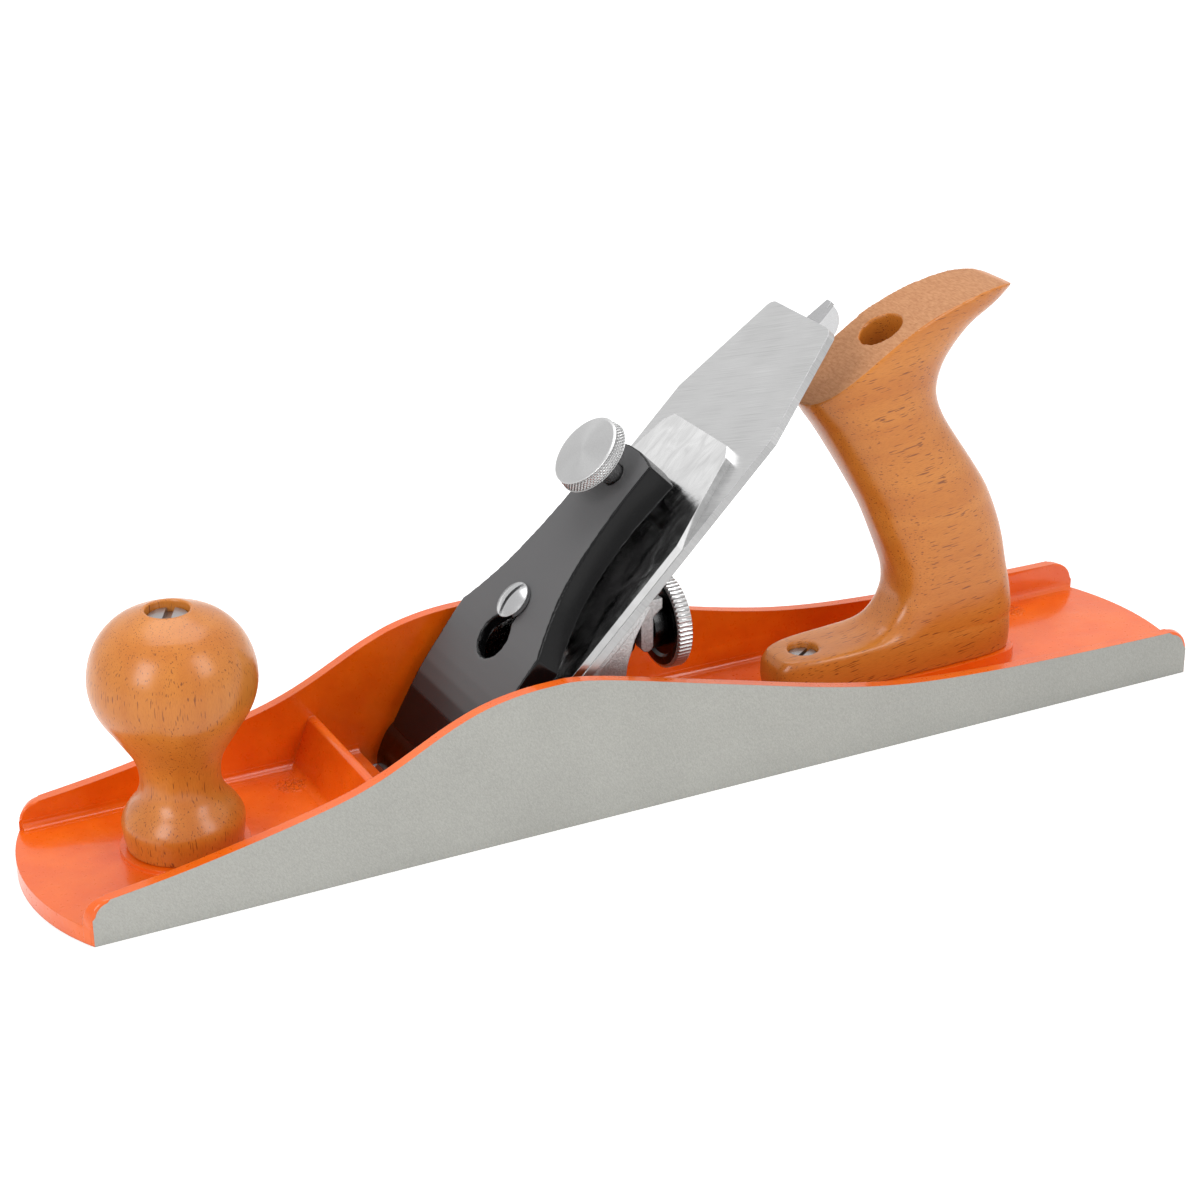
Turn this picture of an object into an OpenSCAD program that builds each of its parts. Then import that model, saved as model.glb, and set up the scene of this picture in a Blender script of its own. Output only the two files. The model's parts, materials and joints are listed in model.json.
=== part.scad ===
// Metal bench plane of jack size, built up the way the real tool comes apart.
// Millimetres, +Z up, +X toward the heel. The origin is on the sole, in the
// middle of its length and width. "s" runs up the bed from the cutting edge,
// and "h" is the height square to the bed above the upper face of the iron.

/* [Body casting] */
// Length of the sole from toe to heel
body_len = 356; // [340:1:380]
// Width over the two ground cheeks
body_w = 62.6; // [61:0.1:68]
// Thickness of the floor of the casting
floor_t = 5; // [4:0.1:6]
// Thickness of the side walls
wall_t = 3.2; // [2.4:0.1:3.6]
// How far the toe curves out ahead of its corners
toe_bulge = 8.4; // [4:0.1:14]
// How far the heel curves out behind its corners
heel_bulge = 6.8; // [4:0.1:14]
// Height of the side walls at the toe
wall_toe_h = 12.4; // [11:0.1:16]
// Height of the side walls at the heel
wall_heel_h = 14.4; // [11:0.1:17]
// Height of the side walls at their crest
wall_peak_h = 43.2; // [38:0.1:48]
// Distance of the crest behind the front of the mouth
wall_peak_back = 31; // [24:0.5:38]
// Radius that rounds the side walls at the toe
toe_end_r = 5; // [3:0.5:7]
// Radius that rounds the side walls at the heel
heel_end_r = 6.5; // [3:0.5:8]
// Radius of the fillets at the foot of the side walls
wall_fillet = 2; // [1:0.5:2.5]
// Distance from the toe to the front of the mouth
mouth_from_toe = 104.8; // [98:0.1:112]
// Opening ahead of the cutting edge
mouth_gap = 2.7; // [1.5:0.1:4]
// Height of the seat that carries the frog, above the sole
seat_h = 7.5; // [6:0.1:8.5]
// Distance of the cross rib ahead of the mouth
rib_ahead = 12.4; // [8:0.1:22]
// Thickness of the cross rib at its foot
rib_t = 7.2; // [5.5:0.1:9]
// How far the front of the cross rib leans back to its top
rib_lean = 4.4; // [2:0.1:5]
// Height of the cross rib above the sole
rib_h = 19.2; // [14:0.1:22]
// Radius of the fillets at the foot of the cross rib
rib_fillet = 3; // [1:0.5:5]

/* [Iron and cap iron] */
// Angle of the bed to the sole
bed_angle = 45; // [44:0.5:46]
// Width of the cutting iron
iron_w = 50.8; // [50:0.1:51.6]
// Thickness of the cutting iron
iron_t = 2.5; // [2:0.1:3]
// Length of the iron from its edge to its top
iron_len = 173.2; // [165:0.1:180]
// Distance from the edge to the shoulders where the iron starts to taper
iron_shoulder = 138.8; // [135:0.1:142]
// Width of the iron at its top
iron_top_w = 31.2; // [26:0.1:36]
// Radius of the two upper corners of the iron
iron_corner_r = 3; // [1:0.5:5]
// Angle of the bevel that sharpens the iron
bevel_angle = 30; // [25:1:35]
// How far the edge is drawn back above the sole, along the bed
edge_rest = 0.4; // [0.2:0.1:0.8]
// Width of the long slot in the iron
iron_slot_w = 11; // [10.6:0.1:11.6]
// Thickness of the cap iron
cap_iron_t = 2.4; // [2:0.1:3]
// Length of the cap iron
cap_iron_len = 129; // [126:0.1:131]
// Distance from the cutting edge to the edge of the cap iron
cap_iron_back = 1.6; // [1:0.1:2.5]
// Height that the bend of the cap iron rises above the iron
hump_h = 4.9; // [4:0.1:5.5]
// Distance from the cutting edge to the screw that joins the two irons
iron_screw_s = 46; // [45:0.5:47]
// Diameter of the head of that screw
iron_screw_head_d = 13; // [12:0.1:13.6]

/* [Lever cap] */
// Distance from the cutting edge to the front of the lever cap
lever_front = 13.4; // [12.5:0.1:15]
// Distance from the cutting edge to the shoulders of the lever cap
lever_shoulder = 54; // [50:0.5:57]
// Distance from the cutting edge to the upper corners of the lever cap
lever_top = 113.4; // [111:0.1:115]
// Width of the lever cap at its shoulders
lever_w = 47.4; // [42:0.1:50]
// Width of the lever cap at its upper corners
lever_top_w = 23; // [19:0.1:26]
// How far the upper end of the lever cap bulges past its corners
lever_bulge = 2; // [1:0.1:4]
// Height of the lever cap above the iron at its front edge
lever_front_h = 6; // [5.8:0.1:7]
// Height of the upper face of the lever cap above the iron
lever_h = 15.6; // [15:0.1:17]
// Thickness of the lever cap's plate and skirt
lever_plate_t = 3; // [2.4:0.1:3.6]
// Distance from the cutting edge to the screw that holds the lever cap
lever_screw_s = 62.3; // [61:0.1:63.5]
// Diameter of the head of that screw
lever_screw_head_d = 11; // [9.5:0.1:11.6]
// Travel of the lever cap from its seat to the wide end of its keyhole
keyhole_travel = 11; // [10:0.1:12]
// Distance from the cutting edge to the thumb screw
thumb_s = 106; // [104:0.1:107]
// Diameter of the thumb screw's head
thumb_d = 22.4; // [18:0.1:25]
// Thickness of the thumb screw's head
thumb_head_t = 5.6; // [4:0.1:7]
// Height of the underside of that head above the upper face of the lever cap
thumb_gap = 6.8; // [5:0.1:7.5]

/* [Frog] */
// Width of the frog
frog_w = 42; // [40:0.1:46]
// Width of the frog's bed above its cheeks
frog_neck_w = 33; // [30:0.1:36]
// Length of the frog's foot along the plane
frog_len = 61.2; // [60.4:0.1:61.8]
// Thickness of the frog's bed along its middle
frog_bed_t = 8; // [7.4:0.1:8.4]
// Thickness of the frog's bed along its sides
frog_edge_t = 4.6; // [4:0.1:5.4]
// Distance from the cutting edge to the top of the frog
frog_top_s = 117; // [116:0.5:119]
// Travel of the frog to each side of its middle place
frog_travel = 1.2; // [0.6:0.1:1.4]
// Distance of the frog's hold-down screws behind the mouth
frog_screw_back = 36; // [34:0.5:38]
// Distance of each hold-down screw from the middle
frog_screw_y = 8; // [7.4:0.1:8.4]
// Height of the adjusting screw under the depth wheel, above the sole
adjust_h = 13; // [12.5:0.1:14]

/* [Depth and side adjusters] */
// Distance of the middle of the yoke's groove behind the mouth
groove_back = 72.6; // [72:0.1:73.2]
// Height of the depth stud above the sole
stud_h = 39.6; // [39.2:0.1:40]
// Diameter of the depth stud
stud_d = 6; // [5:0.1:6.6]
// Diameter of the depth wheel
wheel_d = 27.2; // [22:0.1:28]
// Width of the depth wheel's rim
wheel_t = 4.8; // [4:0.1:6.5]
// Distance from the cutting edge to the yoke's pin
yoke_pin_s = 89; // [88.6:0.1:89.4]
// Depth of the yoke's pin below the iron
yoke_pin_drop = 12.6; // [12.2:0.1:13]
// Distance from the cutting edge to the rivet of the side adjusting lever
lateral_s = 112; // [111.6:0.1:112.4]
// Distance between that rivet and the roller that moves the iron
lateral_arm = 14; // [13.6:0.1:14.2]
// Distance from the rivet to the tip of the side adjusting lever
lateral_reach = 69.4; // [66:0.1:72]
// Width of the side adjusting lever
lateral_w = 6.8; // [6:0.1:8]
// Thickness of the side adjusting lever
lateral_t = 1.5; // [1.2:0.1:1.7]

/* [Front knob] */
// Distance from the toe to the middle of the knob
knob_from_toe = 43.5; // [38:0.1:48]
// Height of the knob from its foot to its top
knob_h = 67; // [60:0.5:74]
// Diameter of the knob's ball
knob_d = 44; // [38:0.1:48]
// Diameter of the knob's waist
knob_waist_d = 21.2; // [18:0.1:24]
// Diameter of the knob's foot
knob_foot_d = 32.4; // [29:0.1:34]
// Height of the boss under the knob
knob_boss_h = 1.2; // [0.6:0.1:2.5]
// Diameter of the nut in the top of the knob
knob_nut_d = 11.4; // [10:0.1:12.4]

/* [Tote] */
// Distance of the tote's upper front corner behind the bed, square to the bed
tote_behind = 16.4; // [15:0.1:20]
// Thickness of the tote
tote_t = 24.4; // [20:0.1:26]
// Height of the raised pad under the tote
tote_pad_h = 4.2; // [2:0.1:5]
// Height of the tote's horn above the sole
tote_h = 124.6; // [118:0.1:130]
// Diameter of the hole bored down the tote for its nut
tote_nut_d = 12.6; // [11:0.1:13.4]
// Diameter of the bolts that hold the knob and the tote
bolt_d = 6; // [5:0.1:6.6]
// Diameter of the head of the screw in the tote's toe
toe_screw_d = 8.4; // [7.4:0.1:9]

/* [Hidden] */

// Fits: a shaft in its bore, a piece free in its slot, and a curved seat
run_fit = 0.06;
free_gap = 0.3;
slide_gap = 0.02;      // between the iron and the bed it slides on
cut = 1;              // how far every cutter runs past the face it cuts
overlap = 0.2;        // how far shapes of one piece run into one another
fine = 96;            // facets of the large round shapes
small = 40;           // facets of the screws and pins

toe_x = -body_len / 2;
heel_x = body_len / 2;
toe_r = (pow(toe_bulge, 2) + pow(body_w / 2, 2)) / (2 * toe_bulge);
heel_r = (pow(heel_bulge, 2) + pow(body_w / 2, 2)) / (2 * heel_bulge);
wall_inset = 0.4;      // the walls stop this far short of the corners of the sole
wall_toe_x = toe_x + toe_bulge + wall_inset;
wall_heel_x = heel_x - heel_bulge - wall_inset;
inner_w = body_w - 2 * wall_t;
mouth_x = toe_x + mouth_from_toe;
edge_x = mouth_x + mouth_gap;
mouth_w = iron_w + 4.2;
peak_x = mouth_x + wall_peak_back;

// Points on a smooth curve through the knots of a list
function blend(a, b, c, d, t) =
    0.5 * (2 * b + (c - a) * t + (2 * a - 5 * b + 4 * c - d) * t * t
    + (3 * b - a - 3 * c + d) * t * t * t);
function curve(k, steps) = concat(
    [for (i = [0 : len(k) - 2], j = [0 : steps - 1])
        blend(k[max(i - 1, 0)], k[i], k[i + 1], k[min(i + 2, len(k) - 1)], j / steps)],
    [k[len(k) - 1]]);
function arc(cx, cy, r, a0, a1, steps) =
    [for (i = [0 : steps]) let (a = a0 + (a1 - a0) * i / steps) [cx + r * cos(a), cy + r * sin(a)]];
function mirrored(points) = concat(points,
    [for (i = [len(points) - 1 : -1 : 0]) [points[i][0], -points[i][1]]]);

// Moves its children into the frame of the bed: X up the slope, Z square to it
module on_bed(s = 0, h = 0)
    translate([edge_x, 0, 0]) rotate([0, -bed_angle, 0]) translate([s, 0, h]) children();
// Stands an outline in X and Z upright, as thick as w across the plane
module upright(w)
    rotate([90, 0, 0]) linear_extrude(w, center = true) children();
// A rod along X from x0 to x1
module rod_x(x0, x1, d, faces = small)
    translate([x0, 0, 0]) rotate([0, 90, 0]) cylinder(h = x1 - x0, d = d, $fn = faces);
// A slot with round ends from x0 to x1, cut h high
module slot(x0, x1, w, h) linear_extrude(h) {
    translate([x0, 0]) circle(d = w, $fn = small);
    translate([x1, 0]) circle(d = w, $fn = small);
    translate([x0, -w / 2]) square([x1 - x0, w]);
}
// Straight slot for a screwdriver, cut into the face at height 0
module driver_slot(d, w = driver_w, deep = driver_deep)
    translate([-d, -w / 2, -deep]) cube([2 * d, w, deep + cut]);
function bed_x(s, h) = edge_x + s * cos(bed_angle) - h * sin(bed_angle);
function bed_z(s, h) = s * sin(bed_angle) + h * cos(bed_angle);
// Place along the plane where a line at height h over the bed comes down to the height z
function bed_foot(h, z) = edge_x - h / sin(bed_angle) + z / tan(bed_angle);

// Heights of the wall as shares of its rise, from the toe and from the heel to the crest
rise_front = [[0, 0], [0.19, 0.107], [0.454, 0.315], [0.6, 0.49], [0.77, 0.81], [0.876, 0.948], [1, 1]];
fall_back = [[0.074, 0.952], [0.257, 0.617], [0.43, 0.303], [0.554, 0.143], [0.7, 0.06],
             [0.88, 0.016], [1, 0]];
wall_start = wall_toe_x + toe_end_r;
wall_stop = wall_heel_x - heel_end_r;
wall_knots = concat(
    [for (k = rise_front) [wall_start + (peak_x - wall_start) * k[0],
                           wall_toe_h + (wall_peak_h - wall_toe_h) * k[1]]],
    [for (k = fall_back) [peak_x + (wall_stop - peak_x) * k[0],
                          wall_heel_h + (wall_peak_h - wall_heel_h) * k[1]]]);

knob_x = toe_x + knob_from_toe;
knob_foot_z = floor_t + knob_boss_h;
tote_foot_z = floor_t + tote_pad_h;
tote_foot_len = 84;
tote_corner_drop = 35.6;    // from the top of the horn down to the tote's upper front corner
tote_front_x = edge_x + (tote_h - tote_corner_drop) / tan(bed_angle) + tote_behind / sin(bed_angle);
pad_margin = 1;             // how far the pad and the boss stand out around the wood
bolt_end_z = 1.4;       // the bolts and screws stop this far above the sole
bolt_grip = 1.6;        // how far the bolts reach into their nuts
knob_nut_t = 4.6;
tote_nut_t = 5;
nut_cap_t = 1.6;        // what is left of a nut above its bore
nut_slot_w = 2.2;
nut_slot_deep = 1.5;
nut_bevel = 0.6;
nut_turn = 62;          // how the slots of the nuts and of the toe's screw happen to stand
toe_screw_turn = 35;
driver_w = 1.2;
driver_deep = 1.4;
knob_recess_deep = 2;
knob_nut_seat = knob_h - knob_recess_deep - knob_nut_t;     // above the knob's foot
knob_recess_d = knob_nut_d + 0.8;
toe_screw_shank_d = 4.4;
toe_screw_head_t = 2.6;
toe_screw_seat = tote_foot_z + 7;
toe_screw_x = tote_front_x + 13.4;

// Frog, its seat and its adjusting screw
frog_rear_x = mouth_x + frog_len;
web_t = 6;
web_x = frog_rear_x - web_t;
cheek_t = 4.5;
cheek_inset = 0.3;      // the cheeks stand back from the sides of the bed
cheek_y = frog_w / 2 - cheek_inset - cheek_t;
cheek_top_s = 84;       // the cheeks run out into the sides of the bed here
frog_waist_s = [78, 90];    // the bed narrows between these two
frog_corner = 3;
// Rear edge of a cheek, as distance behind the web and height above the sole
cheek_rear = [[1.3, 46.8], [0, 43], [-1.3, 39], [-2, 34]];
rib_half = 12;          // half width of the thick middle of the bed
channel_w = 17.6;
channel_floor = -iron_t - 3.8;
base_t = 6;
frog_screw_x = mouth_x + frog_screw_back;
frog_screw_d = 5;
frog_screw_head_d = 8.8;
frog_screw_head_t = 3.2;
washer_d = 10.4;
washer_t = 1.2;
frog_screw_end = bolt_end_z + run_fit - seat_h - base_t - washer_t;
frog_bore_d = washer_d + 2 * frog_travel + 2 * free_gap;
adjust_d = 5.8;
adjust_collar_d = 8.4;
adjust_core_d = 4.4;
plate_t = 1.6;
plate_w = 12;
plate_past = 3.6;       // how far the plate stands out above its screw
adjust_collar_t = 1.8;
adjust_neck = 3.2;
adjust_head_t = 3.2;
boss_x = frog_rear_x + 14;
boss_t = 7;
boss_w = 12;
adjust_head_x = boss_x + boss_t + adjust_neck;
plate_screw_z = adjust_h + 8;
plate_screw_d = 4;
plate_screw_head_d = 6.6;
plate_screw_head_t = 2.2;

// Depth stud, spool, wheel and yoke
groove_x = mouth_x + groove_back;
groove_w = 6.2;
flange_t = 1.3;
rear_flange_t = 4;
dish_deep = 1.4;
rim_w = 3;
stud_past = 3.4;        // how far the stud stands out behind the wheel
spool_core_d = 9;
flange_d = 14.6;
wheel_front = groove_w / 2 + rear_flange_t;
pin_x = bed_x(yoke_pin_s, -yoke_pin_drop);
pin_z = bed_z(yoke_pin_s, -yoke_pin_drop);
pin_d = 3.6;
fork_w = 3.4;
fork_y = spool_core_d / 2 + free_gap;
fork_end_r = 1.9;
fork_drop = 2.8;        // how far the prongs reach below the stud
bar_z = pin_z - 6.8;    // underside of the bar that joins the prongs
bar_t = 3;
hub_r = 3.4;
yoke_room = 6.5;        // half length of the opening in the bed, for the swing of the yoke
hub_w = 8.8;
neck_half = 2.8;        // half the length of the neck between hub and bar
prong_rise = 5.4;       // the prongs keep their width up to here above the stud
lug_r = 3.2;
lug_neck = 2.9;         // half the length of a lug above its pin
lug_t = 2.9;
lug_y = hub_w / 2 + free_gap;
yoke_room_y = lug_y + overlap;
lug_root = -iron_t - frog_bed_t / 2;
tip_w = 5.4;
tip_t = 3;
tip_s = yoke_pin_s;

// Side adjusting lever
lateral_h = -iron_t - 1.8;          // its upper face
roller_s = lateral_s - lateral_arm;
roller_d = iron_slot_w - 0.4;
rivet_d = 4.4;
rivet_head_d = 7.2;
roller_pin_d = 3;
tab_r = 6;              // ear folded down at the side of the strip's end
tab_back = 0.9;
tab_taper = 7;
lateral_tip_w = 2;
rivet_head_t = 1.2;

// Iron and cap iron
slot_eye_d = iron_screw_head_d + 4;
slot_s0 = iron_screw_s - 12;
slot_s1 = roller_s + roller_d;
iron_screw_d = 8;
cap_front = cap_iron_back + edge_rest;
cap_stop = cap_front + cap_iron_len;
cap_waist = 101;
cap_top_w = 35.2;
cap_w = iron_w - 0.4;
cap_corner = 3;
head_room = 1.6;        // the holes are this much wider than the heads that pass them
cap_hole_half = 5;
tip_room_s = 0.35;
tip_room_y = 1.9;
iron_screw_head_t = 3.2;
// Bend of the cap iron: distance behind its edge and height of its upper and lower face
bend_top = [[0, 0.25], [3, 2.6], [10.4, hump_h], [18, hump_h - 1.6], [26, cap_iron_t]];
bend_under = [[25, 0], [18, hump_h - cap_iron_t - 1.4], [10.4, hump_h - cap_iron_t], [3.6, 0.6], [0.8, 0]];

// Lever cap and its screws
lever_screw_d = 6.4;
lever_screw_root = 1.8 - iron_t - frog_bed_t;    // lower end of that screw, inside the bed
shank_d = 6;
collar_d = 11.6;
collar_t = 1.2;
bevel = 0.6;
crown = 0.9;            // how far the middle of the thumb screw's face stands out
lever_seat_h = lever_h - 0.75;      // plate's upper face where the screw bears on it
lever_head_t = 1.3;
lever_slot_w = 1.4;
dome_h = 1.5;
dome_rim = lever_screw_head_d / 2 - overlap;
dome_r = (pow(dome_h, 2) + pow(dome_rim, 2)) / (2 * dome_h);

module sole_outline() intersection() {
    square([2 * body_len, body_w], center = true);
    union() {
        translate([toe_x + toe_r, 0]) circle(r = toe_r, $fn = 2 * fine);
        translate([heel_x - heel_r, 0]) circle(r = heel_r, $fn = 2 * fine);
        translate([toe_x + toe_r, -body_w / 2])
            square([body_len - toe_r - heel_r, body_w]);
    }
}

module wall_outline() polygon(concat(
    [[wall_heel_x, floor_t / 2], [wall_toe_x, floor_t / 2]],
    arc(wall_start, wall_toe_h - toe_end_r, toe_end_r, 180, 92, 8),
    curve(wall_knots, 6),
    arc(wall_stop, wall_heel_h - heel_end_r, heel_end_r, 88, 0, 8)));

// Hollow fillets where the side walls meet the floor
module wall_fillets() for (side = [-1, 1])
    translate([0, side * (inner_w - wall_fillet) / 2, floor_t]) difference() {
        upright(wall_fillet) translate([wall_toe_x, -floor_t / 2])
            square([wall_heel_x - wall_toe_x, floor_t / 2 + wall_fillet]);
        translate([0, -side * wall_fillet / 2, wall_fillet])
            rod_x(wall_toe_x - cut, wall_heel_x + cut, 2 * wall_fillet);
    }

// Outline of the pad under the tote, which stands out a little all round it
module tote_pad_outline() polygon([
    for (p = tote_ring([0, tote_levels[0][1] - pad_margin, tote_foot_len + pad_margin,
                        tote_levels[0][3] + pad_margin / tote_grip_w])) [p[0], p[1]]]);

module body_casting() color("OrangeRed") difference() {
    union() {
        linear_extrude(floor_t) sole_outline();
        for (side = [-1, 1]) translate([0, side * (body_w - wall_t) / 2, 0])
            upright(wall_t) wall_outline();
        wall_fillets();
        cross_rib();
        translate([knob_x, 0, 0]) cylinder(h = knob_foot_z, d = knob_foot_d + 2 * pad_margin, $fn = fine);
        linear_extrude(tote_foot_z) tote_pad_outline();
        frog_seat();
    }
    mouth_cut();
    translate([knob_x, 0, bolt_end_z]) cylinder(h = knob_foot_z, d = bolt_d + 2 * run_fit, $fn = small);
    tote_bolt_line() rod_x(0, tote_bolt_len + cut, bolt_d + 2 * run_fit);
    translate([toe_screw_x, 0, bolt_end_z])
        cylinder(h = tote_foot_z, d = toe_screw_shank_d + 2 * run_fit, $fn = small);
    for (side = [-1, 1]) translate([frog_screw_x, side * frog_screw_y, bolt_end_z])
        cylinder(h = seat_h, d = frog_screw_d + 2 * run_fit, $fn = small);
    translate([0, 0, adjust_h]) rod_x(boss_x - cut, boss_x + boss_t + cut, adjust_d + 2 * run_fit);
}

module cross_rib() {
    rib_x = mouth_x - rib_ahead - rib_t;
    span = inner_w + wall_t;
    // where the sloping front has got to at the height of the fillet
    foot_lean = rib_lean * rib_fillet / (rib_h - floor_t);
    upright(span) polygon([[rib_x, floor_t / 2], [rib_x, floor_t], [rib_x + rib_lean, rib_h],
        [rib_x + rib_t, rib_h], [rib_x + rib_t, floor_t / 2]]);
    difference() {
        translate([rib_x + foot_lean - rib_fillet, -span / 2, floor_t / 2])
            cube([rib_t - foot_lean + 2 * rib_fillet, span, floor_t / 2 + rib_fillet]);
        for (x = [rib_x + foot_lean - rib_fillet, rib_x + rib_t + rib_fillet])
            translate([x, 0, floor_t + rib_fillet]) rotate([90, 0, 0])
                cylinder(h = span + cut, r = rib_fillet, center = true, $fn = fine);
    }
}

module frog_seat() {
    translate([mouth_x, -frog_w / 2, 0]) cube([frog_rear_x - mouth_x, frog_w, seat_h]);
    translate([boss_x, -boss_w / 2, 0]) cube([boss_t, boss_w, adjust_h]);
    translate([0, 0, adjust_h]) rod_x(boss_x, boss_x + boss_t, boss_w, fine);
}

// Everything that the casting leaves free for the iron, from the mouth up: its back
// wall slopes with the bed and stays clear of the iron wherever the frog stands
mouth_wall_h = -iron_t - free_gap - frog_travel * sin(bed_angle);
module mouth_cut() intersection() {
    translate([mouth_x, -mouth_w / 2, -cut]) cube([3 * seat_h, mouth_w, seat_h + 2 * cut]);
    on_bed(-2 * seat_h, mouth_wall_h)
        translate([0, -mouth_w / 2, 0]) cube([5 * seat_h, mouth_w, 4 * seat_h]);
}

// Side of the frog from its foot up to the bed, in X and Z
module frog_cheek_outline() polygon(concat(
    [[bed_foot(-iron_t - 1, 0), 0], [bed_x(cheek_top_s, -iron_t - 1), bed_z(cheek_top_s, -iron_t - 1)]],
    curve(concat([[bed_x(cheek_top_s, -iron_t - frog_edge_t), bed_z(cheek_top_s, -iron_t - frog_edge_t)]],
        [for (k = cheek_rear) [frog_rear_x + k[0], k[1]]]), 5),
    [[frog_rear_x + cheek_rear[3][0], 0]]));

// Plan of the bed: wide over the cheeks, narrow behind the iron's upper half
module frog_bed_outline() polygon(mirrored([[0, frog_w / 2], [frog_waist_s[0], frog_w / 2],
    [frog_waist_s[1], frog_neck_w / 2], [frog_top_s - frog_corner, frog_neck_w / 2],
    [frog_top_s, frog_neck_w / 2 - frog_corner]]));

// Height above the sole at which the bed stands over x, halfway through its sides
function bed_over(x) = (x - edge_x) * tan(bed_angle) - (iron_t + frog_edge_t / 2) / cos(bed_angle);

module frog() color("Silver") difference() {
    union() {
        intersection() {
            union() {
                on_bed(0, -iron_t - frog_edge_t) linear_extrude(frog_edge_t - slide_gap) frog_bed_outline();
                on_bed(0, -iron_t - frog_bed_t) translate([0, -rib_half, 0])
                    cube([frog_top_s - frog_corner, 2 * rib_half, frog_bed_t - frog_edge_t / 2]);
                for (side = [-1, 1]) translate([0, side * (cheek_y + cheek_t / 2), 0])
                    upright(cheek_t) frog_cheek_outline();
                // block under the bed, ahead of the web
                upright(2 * cheek_y + cheek_t) polygon([[bed_foot(-iron_t - 1, 0), 0],
                    [bed_foot(-iron_t - 1, seat_h + base_t), seat_h + base_t],
                    [frog_rear_x + cheek_rear[3][0], seat_h + base_t], [frog_rear_x + cheek_rear[3][0], 0]]);
                upright(2 * cheek_y) polygon([[web_x, 0], [web_x, bed_over(web_x)],
                    [frog_rear_x, bed_over(frog_rear_x)], [frog_rear_x, 0]]);
            }
            translate([edge_x - body_w, -body_w / 2, seat_h]) cube([4 * body_w, body_w, 4 * body_w]);
        }
        // lugs for the yoke's pin
        for (side = [-1, 1]) translate([0, side * (lug_y + lug_t / 2), 0]) upright(lug_t) {
            translate([pin_x, pin_z]) circle(r = lug_r, $fn = small);
            polygon([for (k = [[-lug_neck, -yoke_pin_drop], [lug_neck, -yoke_pin_drop],
                               [lug_neck, lug_root], [-lug_neck, lug_root]])
                [bed_x(yoke_pin_s + k[0], k[1]), bed_z(yoke_pin_s + k[0], k[1])]]);
        }
    }
    // channel for the head of the iron's screw, the yoke and the side lever
    on_bed(iron_screw_s - iron_screw_head_d, channel_floor) translate([0, -channel_w / 2, 0])
        cube([frog_top_s, channel_w, -channel_floor + cut]);
    // opening for the yoke
    on_bed(0, -iron_t - frog_bed_t - cut) translate([tip_s - yoke_room, -yoke_room_y, 0])
        cube([2 * yoke_room, 2 * yoke_room_y, frog_bed_t + 2 * cut]);
    // threaded hole for the lever cap's screw
    on_bed(lever_screw_s, -iron_t - frog_bed_t - cut)
        cylinder(h = frog_bed_t + 2 * cut, d = lever_screw_d + 2 * run_fit, $fn = small);
    on_bed(lateral_s, -iron_t - frog_bed_t - cut)
        cylinder(h = frog_bed_t + 2 * cut, d = rivet_d + 2 * run_fit, $fn = small);
    // wells and slots for the hold-down screws
    for (side = [-1, 1]) translate([frog_screw_x, side * frog_screw_y, 0]) {
        translate([0, 0, seat_h + base_t]) cylinder(h = body_w, d = frog_bore_d, $fn = small);
        translate([0, 0, seat_h - cut]) slot(-frog_travel - run_fit, frog_travel + run_fit,
            frog_screw_d + 2 * free_gap, base_t + 2 * cut);
    }
    translate([pin_x, 0, pin_z]) rotate([90, 0, 0])
        cylinder(h = frog_w, d = pin_d + 2 * run_fit, center = true, $fn = small);
    translate([0, 0, stud_h]) rod_x(web_x - cut, groove_x, stud_d + 2 * run_fit);
    translate([0, 0, adjust_h]) rod_x(frog_rear_x - adjust_collar_t - 2 * free_gap, frog_rear_x + cut,
        adjust_collar_d + 2 * free_gap);
    translate([0, 0, plate_screw_z]) rod_x(web_x - cut, frog_rear_x + cut, plate_screw_d + 2 * run_fit);
}

module frog_screws() color("DimGray") for (side = [-1, 1])
    translate([frog_screw_x, side * frog_screw_y, seat_h + base_t + washer_t]) difference() {
        union() {
            translate([0, 0, frog_screw_end])
                cylinder(h = overlap - frog_screw_end, d = frog_screw_d, $fn = small);
            cylinder(h = frog_screw_head_t, d = frog_screw_head_d, $fn = small);
        }
        translate([0, 0, frog_screw_head_t]) driver_slot(frog_screw_head_d);
    }

module frog_screw_washers() color("Gray") for (side = [-1, 1])
    translate([frog_screw_x, side * frog_screw_y, seat_h + base_t]) difference() {
        cylinder(h = washer_t, d = washer_d, $fn = small);
        translate([0, 0, -cut]) cylinder(h = washer_t + 2 * cut, d = frog_screw_d + 2 * run_fit, $fn = small);
    }

// Turns in the boss of the casting and takes the frog along by its collars
module frog_adjust_screw() color("DimGray") translate([0, 0, adjust_h]) difference() {
    union() {
        rod_x(frog_rear_x - adjust_collar_t - run_fit, frog_rear_x - run_fit, adjust_collar_d);
        rod_x(frog_rear_x - adjust_collar_t, frog_rear_x + plate_t + adjust_collar_t, adjust_core_d);
        rod_x(frog_rear_x + plate_t + run_fit, frog_rear_x + plate_t + adjust_collar_t, adjust_collar_d);
        rod_x(frog_rear_x + plate_t + adjust_collar_t - overlap, adjust_head_x + overlap, adjust_d);
        rod_x(adjust_head_x, adjust_head_x + adjust_head_t, adjust_collar_d);
    }
    translate([adjust_head_x + adjust_head_t, 0, 0]) rotate([0, 90, 0]) driver_slot(adjust_collar_d);
}

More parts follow.
